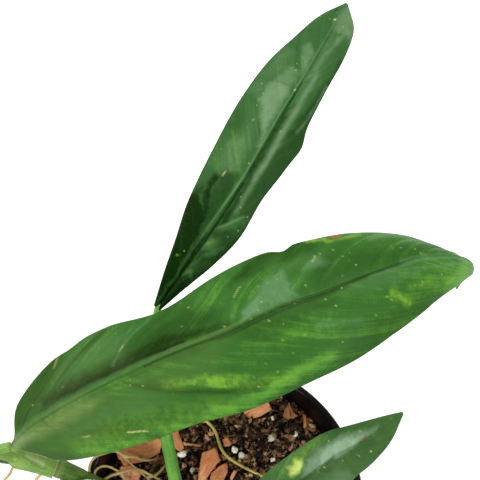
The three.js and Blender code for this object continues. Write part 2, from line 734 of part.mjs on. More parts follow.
// Each solid is cut back by its neighbours, made a gap larger, so that nothing touches or overlaps.
function buildPlant() {
  const stem = stemSolid();
  const stemRoom = stemSolid(GAP);
  const bladeRoom = [LEAF_A, LEAF_B, LEAF_C].map((leaf) => bladeSolid(leaf, GAP));
  addPiece("stem", stem, STEM_COLOR, 0.55);

  const petioleA = petioleSolid(PETIOLE_A).subtract(stemRoom);
  const petioleB = petioleSolid(PETIOLE_B).subtract(stemRoom).add(sheathSolid(SHEATH_B));
  const roomA = petioleSolid(PETIOLE_A, GAP);
  const roomB = petioleSolid(PETIOLE_B, GAP).add(sheathSolid(SHEATH_B, GAP));
  const roomC = petioleSolid(PETIOLE_C, GAP);
  const petioleC = petioleSolid(PETIOLE_C).subtract(stemRoom).subtract(roomA);
  const tip = sweptSolid(TIP_PATH, (u) => spread(TIP_RADII, u), TIP_SIDES, TIP_STEPS).subtract(stemRoom);
  addPiece("leaf_a_petiole", petioleA.subtract(bladeRoom[0]), PETIOLE_COLOR, 0.5);
  addPiece("leaf_b_petiole", petioleB.subtract(bladeRoom[1]), SHEATH_COLOR, 0.6);
  addPiece("leaf_c_petiole", petioleC.subtract(bladeRoom[2]), PETIOLE_COLOR, 0.5);
  addPiece("old_sheath", sheathSolid(SHEATH_OLD), SHEATH_COLOR, 0.65);
  addPiece("growing_tip", tip, PETIOLE_COLOR, 0.5);

  addPiece("leaf_a_blade", bladeSolid(LEAF_A), UPPER_BLADE_COLOR, 0.4);
  addPiece("leaf_b_blade", bladeSolid(LEAF_B), BROAD_BLADE_COLOR, 0.42);
  addPiece("leaf_c_blade", bladeSolid(LEAF_C), SMALL_BLADE_COLOR, 0.38);
  return stemRoom.add(roomA).add(roomB).add(roomC).add(sheathSolid(SHEATH_OLD, GAP));
}

function buildRoots(plantRoom) {
  const roots = [
    ["root_outer_1", ROOT_OUTER_1, ROOT_COLOR],
    ["root_outer_2", ROOT_OUTER_2, ROOT_COLOR],
    ["root_outer_3", ROOT_OUTER_3, ROOT_COLOR],
    ["roots_left", ROOTS_LEFT, ROOT_COLOR],
    ["root_middle", ROOT_MIDDLE, OLIVE_ROOT_COLOR],
  ];
  let room = plantRoom;
  for (const [name, paths, color] of roots) {
    addPiece(name, rootSolid(paths).subtract(plantRoom), color, 0.7);
    room = room.add(rootSolid(paths, GAP));
  }
  return room;
}

// Bark chips and perlite, and the mix with a hollow for everything that stands or lies in it
function buildMix(plantRoom) {
  const draw = seededDraw(DRAW_SEED);
  let room = plantRoom;
  [...CHIPS_SEEN, ...nearChips(draw)].forEach((chip, i) => {
    addPiece(`bark_chip_${i + 1}`, chipSolid(chip).subtract(room), BARK_COLOR, 0.85);
    room = room.add(chipSolid(chip, GAP));
  });
  [...GRAINS_SEEN, ...nearGrains(draw)].forEach((grain, i) => {
    addPiece(`perlite_${i + 1}`, grainSolid(grain).subtract(room), PERLITE_COLOR, 0.9);
    room = room.add(grainSolid(grain, GAP));
  });
  addPiece("potting_mix", mixSolid().subtract(room), MIX_COLOR, 0.95);
}

addPiece("pot", potSolid(), POT_COLOR, 0.45);
buildMix(buildRoots(buildPlant()));

export default group;
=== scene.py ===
"""Potted philodendron barrosoanum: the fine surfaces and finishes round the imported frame."""

import logging
import math
from dataclasses import dataclass, field
from enum import Enum

import bmesh
import bpy
import numpy as np
from bpy.types import ID, Light, Material, Mesh, Node, NodeSocket, Object
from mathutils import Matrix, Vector, noise
from mathutils.bvhtree import BVHTree


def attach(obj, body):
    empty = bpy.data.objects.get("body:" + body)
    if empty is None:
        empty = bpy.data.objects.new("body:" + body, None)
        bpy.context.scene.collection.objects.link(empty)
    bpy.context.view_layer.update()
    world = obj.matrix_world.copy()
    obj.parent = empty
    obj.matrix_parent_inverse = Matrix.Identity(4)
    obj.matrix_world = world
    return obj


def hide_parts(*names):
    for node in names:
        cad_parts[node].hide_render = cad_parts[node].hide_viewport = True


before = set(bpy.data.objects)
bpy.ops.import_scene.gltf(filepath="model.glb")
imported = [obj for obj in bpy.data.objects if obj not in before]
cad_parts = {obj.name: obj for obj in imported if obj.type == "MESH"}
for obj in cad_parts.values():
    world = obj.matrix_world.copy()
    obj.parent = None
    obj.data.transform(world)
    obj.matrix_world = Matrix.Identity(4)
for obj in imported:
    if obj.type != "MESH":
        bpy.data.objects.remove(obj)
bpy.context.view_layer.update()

BODY = "root"
LOG = logging.getLogger("philodendron")

# The plant is drawn in millimetres, and each mesh is turned to metres when it is made.
MM = 0.001
UP = np.array([0.0, 0.0, 1.0])

Point = tuple[float, float, float]
Place = tuple[float, float]


class Tone(Enum):
    """What a mark does to a blade's colour, by the name of the attribute that carries it."""

    # lighter green: partly the leaf's own, partly painted light on sides that face the lamps
    LIGHT = "tone_light"
    # painted shade: folds, creases, the midrib's groove and sides turned from the light
    DARK = "tone_dark"
    # painted sheen: pale gloss patches and highlights
    SHEEN = "tone_sheen"
    YELLOW = "tone_yellow"
    # the leaf's own cream flecks, and on the broad blade also a painted pale sheen
    CREAM = "tone_cream"
    BROWN = "tone_brown"


LIGHT, DARK, SHEEN, YELLOW, CREAM, BROWN = Tone


class Edge(Enum):
    """How a mark is drawn on a blade."""

    STROKE = "stroke"
    PATCH = "patch"


# Small sums


def unit(vectors: np.ndarray) -> np.ndarray:
    """Vectors of length one along the last axis."""
    return vectors / np.maximum(np.linalg.norm(vectors, axis=-1, keepdims=True), 1e-12)


def smooth(values: np.ndarray) -> np.ndarray:
    """Smooth step of values between 0 and 1."""
    held = np.clip(values, 0.0, 1.0)
    return held * held * (3.0 - 2.0 * held)


def bell(values: np.ndarray, place: float, length: float) -> np.ndarray:
    """Smooth bump of height 1 round a place."""
    return np.exp(-(((values - place) / length) ** 2))


def spread(values: tuple, t: np.ndarray) -> np.ndarray:
    """Smooth curve through an evenly spread list.

    Args:
        values: numbers or points, spread evenly from t = 0 to t = 1.
        t: where the curve is read.

    Returns:
        One number or point for each t.
    """
    entries = np.asarray(values, float)
    single = entries.ndim == 1
    if single:
        entries = entries[:, None]
    last = len(entries) - 1
    held = np.vstack([2 * entries[0] - entries[1], entries, 2 * entries[-1] - entries[-2]])
    place = np.clip(np.asarray(t, float), 0.0, 1.0) * last
    i = np.minimum(place.astype(int), last - 1)
    f = (place - i)[:, None]
    a, b, c, d = held[i], held[i + 1], held[i + 2], held[i + 3]
    square = 2 * a - 5 * b + 4 * c - d
    cube = 3 * b - a - 3 * c + d
    result = 0.5 * (2 * b + (c - a) * f + square * f**2 + cube * f**3)
    return result[:, 0] if single else result


def even_places(path: tuple, steps: int) -> np.ndarray:
    """Curve parameters that lie at even distances along a path.

    Args:
        path: the points that the curve goes through.
        steps: how many stretches the path is cut into.

    Returns:
        steps + 1 parameters between 0 and 1.
    """
    fine = np.linspace(0.0, 1.0, 801)
    points = spread(path, fine)
    lengths = np.concatenate([[0.0], np.cumsum(np.linalg.norm(np.diff(points, axis=0), axis=1))])
    return np.interp(np.linspace(0.0, lengths[-1], steps + 1), lengths, fine)


def carried(forward: np.ndarray, start: np.ndarray) -> np.ndarray:
    """Sides that turn with the directions of a path but never twist.

    Args:
        forward: the path's directions, of length one.
        start: about which way the first side points.

    Returns:
        One side for each direction.
    """
    sides = np.zeros_like(forward)
    side = start
    for i, ahead in enumerate(forward):
        side = unit(side - side.dot(ahead) * ahead)
        sides[i] = side
    return sides


def lumps(points: np.ndarray, size: float, octaves: int = 3, seed: float = 0.0) -> np.ndarray:
    """Smooth random heights, about -1 to 1, at points in millimetres.

    Args:
        points: rows of x, y and z.
        size: how wide the largest lump is.
        octaves: how many finer layers are added.
        seed: moves the pattern.

    Returns:
        One height for each point.
    """
    shift = Vector((seed * 7.3, seed * 3.1, seed * 5.7))
    return np.array([noise.fractal(Vector(p) / size + shift, 1.0, 2.0, octaves) for p in points])


def linear(colour: str) -> tuple[float, float, float, float]:
    """Linear colour from a six-digit hexadecimal one."""
    parts = [int(colour[i : i + 2], 16) / 255.0 for i in (0, 2, 4)]
    held = [c / 12.92 if c <= 0.04045 else ((c + 0.055) / 1.055) ** 2.4 for c in parts]
    return (held[0], held[1], held[2], 1.0)


# Meshes


def linked(name: str, data: ID) -> Object:
    """A new object at the origin, linked to the scene."""
    made = bpy.data.objects.new(name, data)
    bpy.context.scene.collection.objects.link(made)
    return made


def keep(mesh: Mesh, name: str, column: np.ndarray) -> None:
    """Keeps a number or a vector for each point of a mesh."""
    kind, part = ("FLOAT", "value") if column.ndim == 1 else ("FLOAT_VECTOR", "vector")
    mesh.attributes.new(name, kind, "POINT").data.foreach_set(part, column.astype(np.float32).ravel())


def rows_of(mesh: Mesh, kind: str) -> np.ndarray:
    """The place (co) or the normal of each vertex, one row each."""
    held = np.zeros(len(mesh.vertices) * 3, np.float32)
    mesh.vertices.foreach_get(kind, held)
    return held.reshape(-1, 3)


def move_points(mesh: Mesh, points: np.ndarray) -> None:
    """Moves the vertices to places in millimetres."""
    mesh.vertices.foreach_set("co", (points * MM).astype(np.float32).ravel())


def cover(mesh: Mesh, material: Material) -> None:
    """Gives a mesh its material and smooth shading."""
    mesh.polygons.foreach_set("use_smooth", np.ones(len(mesh.polygons), bool))
    mesh.materials.append(material)
    mesh.update()


def make_piece(name: str, points: np.ndarray, faces: list, material: Material,
               values: dict[str, np.ndarray]) -> Object:
    """A mesh object at the origin, with its place in its vertices.

    Args:
        name: the piece's name.
        points: rows of x, y and z in millimetres.
        faces: index lists, turned outwards.
        material: the finish.
        values: attributes by name, a number or a vector for each point.

    Returns:
        The new object, linked to the scene.
    """
    mesh = bpy.data.meshes.new(name)
    mesh.from_pydata((points * MM).tolist(), [], faces)
    for key, column in values.items():
        keep(mesh, key, column)
    cover(mesh, material)
    return linked(name, mesh)


def settle(piece: Object, slot: str, *nodes: str) -> None:
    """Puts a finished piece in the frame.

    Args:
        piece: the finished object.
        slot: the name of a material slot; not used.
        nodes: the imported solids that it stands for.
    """
    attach(piece, BODY)
    if nodes:
        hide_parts(*nodes)
    triangles = sum(len(p.vertices) - 2 for p in piece.data.polygons)
    LOG.info("%s: %d triangles", piece.name, triangles)


def applied(piece: Object) -> Object:
    """The piece with its modifiers turned into plain mesh and taken off."""
    graph = bpy.context.evaluated_depsgraph_get()
    result = bpy.data.meshes.new_from_object(piece.evaluated_get(graph))
    old = piece.data
    piece.modifiers.clear()
    piece.data = result
    bpy.data.meshes.remove(old)
    return piece


def solid_tree(piece: Object) -> BVHTree:
    """Search tree of an object's faces."""
    corners = [vertex.co for vertex in piece.data.vertices]
    return BVHTree.FromPolygons(corners, [tuple(face.vertices) for face in piece.data.polygons])


def loop_faces(rings: int, sides: int) -> list[tuple[int, ...]]:
    """Faces of a tube of rings, closed at both ends with one extra point each, after all the rings.

    Args:
        rings: how many rings of points there are.
        sides: how many points are in each ring.

    Returns:
        The faces, turned outwards where the rings run clockwise seen along the tube.
    """
    faces: list[tuple[int, ...]] = []
    for i in range(rings - 1):
        for k in range(sides):
            a = i * sides + k
            b = i * sides + (k + 1) % sides
            faces.append((a, b, b + sides, a + sides))
    first = rings * sides
    end = first - sides
    for k in range(sides):
        following = (k + 1) % sides
        faces.append((first, following, k))
        faces.append((first + 1, end + k, end + following))
    return faces


def sheet_faces(rows: int, columns: int) -> list[tuple[int, ...]]:
    """Faces of a closed sheet: a grid of top points followed by the same grid of bottom points.

    Args:
        rows: how many lines of points there are along the sheet.
        columns: how many points are in each line, from left to right.

    Returns:
        Quads for both faces and all four edges.
    """
    under = rows * columns
    faces: list[tuple[int, ...]] = []
    for i in range(rows - 1):
        for j in range(columns - 1):
            a = i * columns + j
            b, c, d = a + 1, a + columns + 1, a + columns
            faces.append((a, b, c, d))
            faces.append((under + a, under + d, under + c, under + b))
        left, right = i * columns, (i + 1) * columns - 1
        faces.append((left, left + columns, under + left + columns, under + left))
        faces.append((right, under + right, under + right + columns, right + columns))
    last = (rows - 1) * columns
    for j in range(columns - 1):
        faces.append((j, under + j, under + j + 1, j + 1))
        faces.append((last + j, last + j + 1, under + last + j + 1, under + last + j))
    return faces


# Node trees


class Shader:
    """A material's node tree, with one method for each kind of node that the finishes use."""

    def __init__(self, name: str) -> None:
        """Starts a material of that name with its shader."""
        self.material = bpy.data.materials.new(name)
        self.material.use_nodes = True
        self.tree = self.material.node_tree
        self.bsdf = self.tree.nodes["Principled BSDF"]

    def link(self, value: object, socket: NodeSocket) -> None:
        """Joins an output to an input, or sets the input to a plain value."""
        if isinstance(value, NodeSocket):
            self.tree.links.new(value, socket)
        else:
            socket.default_value = value

    def node(self, kind: str, settings: dict[str, object] | None = None,
             **inputs: object) -> Node:
        """A node of that kind, with its settings and its inputs by name."""
        made = self.tree.nodes.new(kind)
        for key, value in (settings or {}).items():
            setattr(made, key, value)
        for key, value in inputs.items():
            self.link(value, made.inputs[key.replace("_", " ").strip()])
        return made

    def place(self, stretch: Point = (1.0, 1.0, 1.0)) -> NodeSocket:
        """Object coordinates in metres, stretched."""
        start = self.node("ShaderNodeTexCoord").outputs["Object"]
        return self.stretched(start, stretch)

    def stretched(self, vector: NodeSocket, stretch: Point) -> NodeSocket:
        """A vector with each of its parts multiplied."""
        return self.node("ShaderNodeMapping", Vector=vector, Scale=stretch).outputs["Vector"]

    def value(self, name: str) -> NodeSocket:
        """A number kept on the mesh."""
        return self.node("ShaderNodeAttribute", {"attribute_name": name}).outputs["Fac"]

    def vector(self, name: str, stretch: Point = (1.0, 1.0, 1.0)) -> NodeSocket:
        """A vector kept on the mesh, stretched."""
        held = self.node("ShaderNodeAttribute", {"attribute_name": name}).outputs["Vector"]
        return self.stretched(held, stretch)

    def noise(self, vector: NodeSocket, scale: float, detail: float = 3.0,
              roughness: float = 0.55, distortion: float = 0.0) -> NodeSocket:
        """Cloudy noise between 0 and 1."""
        made = self.node("ShaderNodeTexNoise", Vector=vector, Scale=scale, Detail=detail,
                         Roughness=roughness, Distortion=distortion)
        return made.outputs["Fac"]

    def cells(self, vector: NodeSocket, scale: float) -> NodeSocket:
        """Distance to the nearest of many scattered points."""
        return self.node("ShaderNodeTexVoronoi", Vector=vector, Scale=scale).outputs["Distance"]

    def sum(self, kind: str, a: object, b: object) -> NodeSocket:
        """One arithmetic step on two numbers."""
        made = self.node("ShaderNodeMath", {"operation": kind})
        self.link(a, made.inputs[0])
        self.link(b, made.inputs[1])
        return made.outputs[0]

    def fit(self, value: object, low: float, high: float, to_low: float = 0.0,
            to_high: float = 1.0) -> NodeSocket:
        """A smooth change from to_low to to_high as the value goes from low to high."""
        made = self.node("ShaderNodeMapRange", {"interpolation_type": "SMOOTHSTEP"})
        for key, entry in (("Value", value), ("From Min", low), ("From Max", high),
                           ("To Min", to_low), ("To Max", to_high)):
            self.link(entry, made.inputs[key])
        return made.outputs["Result"]

    def mix(self, share: object, a: object, b: object, kind: str = "MIX") -> NodeSocket:
        """A colour between a and b, each a hexadecimal colour or an output."""
        made = self.node("ShaderNodeMix", {"data_type": "RGBA", "blend_type": kind, "clamp_factor": True})
        self.link(share, made.inputs["Factor"])
        for entry, socket in ((a, made.inputs[6]), (b, made.inputs[7])):
            self.link(linear(entry) if isinstance(entry, str) else entry, socket)
        return made.outputs[2]

    def bump(self, height: object, strength: float, depth: float,
             normal: NodeSocket | None = None) -> NodeSocket:
        """A normal tilted by a height, depth metres high."""
        made = self.node("ShaderNodeBump", Height=height, Strength=strength, Distance=depth)
        if normal is not None:
            self.link(normal, made.inputs["Normal"])
        return made.outputs["Normal"]

    def done(self, colour: object, roughness: object, normal: object,
             **constants: object) -> Material:
        """Joins the surface to the shader.

        Args:
            colour: the base colour output.
            roughness: a number or an output.
            normal: the bumped normal.
            constants: plain values for the shader's other sockets, with _ for a space.

        Returns:
            The finished material.
        """
        self.link(colour, self.bsdf.inputs["Base Color"])
        self.link(roughness, self.bsdf.inputs["Roughness"])
        self.link(normal, self.bsdf.inputs["Normal"])
        for key, value in constants.items():
            self.bsdf.inputs[key.replace("_", " ")].default_value = value
        return self.material


class Grower:
    """A Geometry Nodes tree with named inputs, run once on a piece."""

    def __init__(self, name: str) -> None:
        """Starts an empty tree of that name."""
        self.tree = bpy.data.node_groups.new(name, "GeometryNodeTree")
        for way in ("INPUT", "OUTPUT"):
            self.tree.interface.new_socket("Geometry", in_out=way, socket_type="NodeSocketGeometry")
        self.start = self.tree.nodes.new("NodeGroupInput")
        self.end = self.tree.nodes.new("NodeGroupOutput")
        self.settings: dict[str, float] = {}

    def number(self, name: str, value: float, kind: str = "NodeSocketFloat") -> NodeSocket:
        """A named input of the tree and the value that the piece gives it."""
        made = self.tree.interface.new_socket(name, in_out="INPUT", socket_type=kind)
        self.settings[made.identifier] = value
        return self.start.outputs[name]

    def node(self, kind: str, inputs: dict[object, object], settings: dict[str, object] | None = None,
             out: object = 0) -> NodeSocket:
        """A node's output.

        Args:
            kind: the node's type.
            inputs: plain values or outputs, by the input's name or number.
            settings: the node's own settings.
            out: the output's name or number.

        Returns:
            The chosen output.
        """
        made = self.tree.nodes.new(kind)
        for key, value in (settings or {}).items():
            setattr(made, key, value)
        for key, value in inputs.items():
            socket = made.inputs[key]
            if isinstance(value, NodeSocket):
                self.tree.links.new(value, socket)
            else:
                socket.default_value = value
        return made.outputs[out]

    def draw(self, low: object, high: object, seed: int) -> NodeSocket:
        """A random number, or a random vector where low is one."""
        if isinstance(low, tuple):
            return self.node("FunctionNodeRandomValue", {0: low, 1: high, "Seed": seed},
                             {"data_type": "FLOAT_VECTOR"}, 0)
        return self.node("FunctionNodeRandomValue", {2: low, 3: high, "Seed": seed},
                         {"data_type": "FLOAT"}, 1)

    def sum(self, kind: str, a: object, b: object) -> NodeSocket:
        """One arithmetic step on two numbers."""
        return self.node("ShaderNodeMath", {0: a, 1: b}, {"operation": kind})

    def here(self) -> NodeSocket:
        """The place of each point."""
        return self.node("GeometryNodeInputPosition", {})

    def noise(self, scale: float, out: str) -> NodeSocket:
        """Noise at the place of each point, as a factor (Fac) or as a colour (Color)."""
        inputs = {"Vector": self.here(), "Scale": scale, "Detail": 2.0}
        return self.node("ShaderNodeTexNoise", inputs, out=out)

    def held(self, geometry: object, name: str, value: object, kind: str,
             domain: str = "POINT") -> NodeSocket:
        """The geometry with a value kept on it by name."""
        return self.node("GeometryNodeStoreNamedAttribute", {0: geometry, "Name": name, "Value": value},
                         {"data_type": kind, "domain": domain})

    def times(self, vector: object, number: object) -> NodeSocket:
        """A vector made longer or shorter."""
        return self.node("ShaderNodeVectorMath", {0: vector, "Scale": number}, {"operation": "SCALE"})

    def finish(self, geometry: NodeSocket, material: Material) -> None:
        """Ends the tree: instances made real, with their material."""
        real = self.node("GeometryNodeRealizeInstances", {0: geometry})
        faced = self.node("GeometryNodeSetMaterial", {0: real, "Material": material})
        self.tree.links.new(faced, self.end.inputs[0])

    def run(self, piece: Object) -> Object:
        """Runs the tree on a piece and leaves it as plain mesh."""
        modifier = piece.modifiers.new(self.tree.name, "NODES")
        modifier.node_group = self.tree
        for identifier, value in self.settings.items():
            modifier[identifier] = value
        return applied(piece)


# Finishes


@dataclass(frozen=True)
class BladeFinish:
    """A waxy leaf blade: colours from deep to bright, with its underside, its gloss, and painted shade and
    sheen.
    """

    name: str
    # the colour that painted shade pulls towards
    deep: str
    middle: str
    bright: str
    rib: str
    # the colour of the painted sheen
    sheen: str
    under: str
    roughness: float
    mottle: str = "92c03c"
    dot: str = "8fb050"
    cream: str = "e2dc92"
    scorch: str = "b0582c"

    def material(self) -> Material:
        """Colour by the blade's own marks and veins, with faint streaks along the side veins; the marks
        paint shade, sheen and some light as well as spots.
        """
        s = Shader(self.name)
        flow = s.vector("flow")
        streak = s.noise(s.stretched(flow, (1.0, 0.12, 1.0)), 700.0, 3.0)
        fine = s.noise(s.stretched(flow, (1.0, 0.3, 1.0)), 2400.0, 2.0)
        band = s.noise(s.stretched(flow, (1.0, 0.12, 1.0)), 230.0, 3.0, 0.6)
        ridge = s.noise(s.stretched(flow, (0.06, 1.0, 1.0)), 1500.0, 2.0)
        cloud = s.noise(s.place(), 48.0, 4.0, 0.6)
        blotch = s.noise(s.place(), 290.0, 4.0, 0.65)
        speck = s.noise(s.place(), 1000.0, 2.0, 0.7)
        # light marks: partly the leaf's own paler green, partly painted light
        light = s.value(Tone.LIGHT.value)
        for pattern, reach in ((streak, 0.13), (band, 0.2), (cloud, 0.12), (blotch, 0.12), (speck, 0.08)):
            light = s.sum("ADD", light, s.fit(pattern, 0.28, 0.72, -reach, reach))
        colour = s.mix(s.fit(light, 0.0, 1.0), self.middle, self.bright)
        colour = s.mix(s.sum("MULTIPLY", s.value("vein"), 0.14), colour, self.rib)
        # painted shade: dark marks and the darker random tone pull the colour towards deep
        shade = s.sum("MULTIPLY", s.value(Tone.DARK.value), s.fit(speck, 0.25, 0.75, 0.9, 1.1))
        shade = s.sum("ADD", shade, s.fit(light, -1.0, 0.0, 0.6, 0.0))
        colour = s.mix(shade, colour, self.deep)
        rib = s.sum("MULTIPLY", s.value("rib"), s.fit(ridge, 0.3, 0.7, 0.6, 1.05))
        colour = s.mix(rib, colour, self.rib)
        # painted sheen: pale highlight patches from the sheen marks
        painted_sheen = s.sum("MULTIPLY", s.value(Tone.SHEEN.value), s.fit(blotch, 0.25, 0.75, 0.72, 1.05))
        colour = s.mix(painted_sheen, colour, self.sheen)
        mottle = s.sum("MULTIPLY", s.value(Tone.YELLOW.value), s.fit(blotch, 0.36, 0.62, 0.3, 1.1))
        colour = s.mix(mottle, colour, self.mottle)
        dots = s.fit(s.cells(s.place(), 260.0), 0.075, 0.14, 0.6, 0.0)
        dots = s.sum("MULTIPLY", dots, s.fit(cloud, 0.5, 0.62))
        colour = s.mix(dots, colour, self.dot)
        # cream marks: the leaf's own cream flecks and lines, and on the broad blade also a painted pale
        # sheen
        colour = s.mix(s.value(Tone.CREAM.value), colour, self.cream)
        colour = s.mix(s.value(Tone.BROWN.value), colour, self.scorch)
        back = s.mix(s.fit(fine, 0.2, 0.8, 0.0, 0.3), self.under, self.rib)
        colour = s.mix(s.value("under"), colour, back)
        rough = s.fit(blotch, 0.2, 0.8, self.roughness - 0.05, self.roughness + 0.08)
        rough = s.sum("ADD", rough, s.sum("MULTIPLY", s.value("under"), 0.25))
        normal = s.bump(streak, 0.25, 0.0002)
        normal = s.bump(fine, 0.2, 0.0001, normal)
        normal = s.bump(blotch, 0.25, 0.0004, normal)
        normal = s.bump(s.cells(s.place(), 1900.0), 0.12, 0.00012, normal)
        return s.done(colour, rough, normal, Specular_IOR_Level=0.1, Specular_Tint=(0.75, 1.0, 0.6, 1.0))


@dataclass(frozen=True)
class StalkFinish:
    """A green stalk or sheath: fine ribs along it, painted shade on one side and worn or torn places."""

    name: str
    deep: str
    bright: str
    edge: str
    scar: str
    roughness: float

    def material(self) -> Material:
        """Colour by fibres that run along the stalk, its rings and its edges."""
        s = Shader(self.name)
        fibre = s.noise(s.vector("flow", (0.05, 1.0, 1.0)), 1500.0, 3.0, 0.6)
        cloud = s.noise(s.place(), 110.0, 4.0)
        speck = s.noise(s.place(), 900.0, 2.0, 0.7)
        share = s.sum("ADD", s.fit(fibre, 0.25, 0.75, 0.0, 0.55), s.fit(cloud, 0.3, 0.7, -0.1, 0.45))
        # painted shade: the side of a stalk turned from the light, and each sheath darker, or lighter where
        # negative, towards one end
        share = s.sum("SUBTRACT", share, s.value("shade"))
        colour = s.mix(share, self.deep, self.bright)
        colour = s.mix(s.fit(speck, 0.6, 0.78, 0.0, 0.4), colour, self.edge)
        colour = s.mix(s.value("edge"), colour, self.edge)
        scar = s.sum("MULTIPLY", s.value("scar"), s.fit(speck, 0.3, 0.7, 0.5, 1.0))
        colour = s.mix(scar, colour, self.scar)
        rough = s.fit(cloud, 0.2, 0.8, self.roughness - 0.06, self.roughness + 0.08)
        normal = s.bump(fibre, 0.5, 0.0002)
        normal = s.bump(speck, 0.25, 0.00015, normal)
        return s.done(colour, rough, normal, Specular_IOR_Level=0.25, Specular_Tint=(0.85, 1.0, 0.7, 1.0))


@dataclass(frozen=True)
class RootFinish:
    """A dry aerial root: corky skin with rings, greener or darker in places."""

    name: str
    deep: str
    bright: str
    tint: str

    def material(self) -> Material:
        """Colour by rings along the root and cork specks."""
        s = Shader(self.name)
        cloud = s.noise(s.place(), 160.0, 4.0)
        speck = s.noise(s.place(), 1800.0, 3.0, 0.7)
        ring = s.noise(s.vector("flow", (1.0, 0.1, 1.0)), 1500.0, 2.0)
        colour = s.mix(s.fit(cloud, 0.3, 0.7), self.deep, self.bright)
        colour = s.mix(s.fit(ring, 0.45, 0.7, 0.0, 0.5), colour, self.tint)
        colour = s.mix(s.fit(speck, 0.55, 0.75, 0.0, 0.5), colour, self.deep)
        normal = s.bump(ring, 0.5, 0.0002)
        normal = s.bump(speck, 0.4, 0.00015, normal)
        return s.done(colour, s.fit(speck, 0.2, 0.8, 0.55, 0.8), normal)


@dataclass(frozen=True)
class GroundFinish:
    """Crumbled stuff such as mix, crumbs and fibres: dark, with a random shade for each crumb."""

    name: str
    deep: str
    middle: str
    bright: str
    fleck: str
    # the colour of the painted shade in gaps
    gap_shade_colour: str = "080403"

    def material(self) -> Material:
        """Colour by each crumb's own shade and a fine grain, with painted shade of dark gaps over a few
        crumbs.
        """
        s = Shader(self.name)
        shade = s.value("shade")
        grain = s.noise(s.place(), 900.0, 4.0, 0.65)
        speck = s.noise(s.place(), 3200.0, 2.0, 0.7)
        colour = s.mix(s.fit(shade, 0.15, 0.6), self.deep, self.middle)
        colour = s.mix(s.fit(shade, 0.62, 0.98), colour, self.bright)
        colour = s.mix(s.fit(grain, 0.5, 0.75, 0.0, 0.6), colour, self.deep)
        # painted shade: dark gaps between crumbs, painted over patches of crumbs
        painted_gap_shade = s.fit(s.noise(s.place(), 210.0, 3.0, 0.6), 0.38, 0.5, 0.92, 0.0)
        colour = s.mix(painted_gap_shade, colour, self.gap_shade_colour)
        colour = s.mix(s.fit(speck, 0.66, 0.8, 0.0, 0.4), colour, self.fleck)
        normal = s.bump(grain, 0.8, 0.0006)
        normal = s.bump(speck, 0.5, 0.0002, normal)
        return s.done(colour, s.fit(grain, 0.2, 0.8, 0.75, 0.95), normal, Specular_IOR_Level=0.3)


@dataclass(frozen=True)
class BarkFinish:
    """A flake of bark: long grain with dark cracks and a paler worn face."""

    name: str
    crack: str
    deep: str
    bright: str
    worn: str

    def material(self) -> Material:
        """Colour by the grain that runs along each flake."""
        s = Shader(self.name)
        grain = s.noise(s.vector("grain", (0.12, 1.0, 1.0)), 1100.0, 4.0, 0.65, 0.6)
        layer = s.noise(s.vector("grain", (0.3, 1.0, 2.0)), 330.0, 3.0, 0.6)
        speck = s.noise(s.place(), 2400.0, 2.0, 0.7)
        colour = s.mix(s.fit(layer, 0.3, 0.7), self.deep, self.bright)
        colour = s.mix(s.value("shade"), colour, self.deep)
        colour = s.mix(s.fit(grain, 0.55, 0.75, 0.0, 0.6), colour, self.worn)
        colour = s.mix(s.fit(grain, 0.28, 0.42, 0.85, 0.0), colour, self.crack)
        colour = s.mix(s.fit(speck, 0.6, 0.8, 0.0, 0.35), colour, self.crack)
        normal = s.bump(grain, 0.9, 0.0005)
        normal = s.bump(speck, 0.4, 0.0002, normal)
        return s.done(colour, s.fit(speck, 0.2, 0.8, 0.7, 0.9), normal, Specular_IOR_Level=0.35)


@dataclass(frozen=True)
class PerliteFinish:
    """Puffed mineral grain: chalky, with pits and a little soil in them."""

    name: str
    chalk: str
    shadow: str
    soil: str

    def material(self) -> Material:
        """Colour by pits and by soil smeared on the grain."""
        s = Shader(self.name)
        pits = s.cells(s.place(), 2100.0)
        smear = s.noise(s.place(), 700.0, 3.0, 0.6)
        colour = s.mix(s.fit(pits, 0.1, 0.55), self.shadow, self.chalk)
        colour = s.mix(s.fit(smear, 0.62, 0.8, 0.0, 0.5), colour, self.soil)
        normal = s.bump(pits, 0.5, 0.0003)
        return s.done(colour, s.fit(smear, 0.2, 0.8, 0.8, 0.95), normal, Specular_IOR_Level=0.25)


@dataclass(frozen=True)
class PlasticFinish:
    """Moulded black plastic: fine grain, rubbed lighter, with dust and drag lines."""

    name: str
    base: str
    rubbed: str
    dust: str
    roughness: float

    def material(self) -> Material:
        """Colour by wear and dust, with the mould's fine grain."""
        s = Shader(self.name)
        wear = s.noise(s.place(), 38.0, 5.0, 0.65)
        grain = s.noise(s.place(), 2600.0, 2.0, 0.6)
        drag = s.noise(s.place((1.0, 1.0, 0.03)), 420.0, 3.0, 0.6)
        dust = s.noise(s.place(), 240.0, 5.0, 0.75)
        colour = s.mix(s.fit(wear, 0.35, 0.75, 0.0, 0.6), self.base, self.rubbed)
        colour = s.mix(s.fit(dust, 0.6, 0.78, 0.0, 0.35), colour, self.dust)
        rough = s.fit(wear, 0.2, 0.8, self.roughness - 0.08, self.roughness + 0.1)
        normal = s.bump(drag, 0.12, 0.0003)
        normal = s.bump(grain, 0.2, 0.00008, normal)
        return s.done(colour, rough, normal, Specular_IOR_Level=0.28)


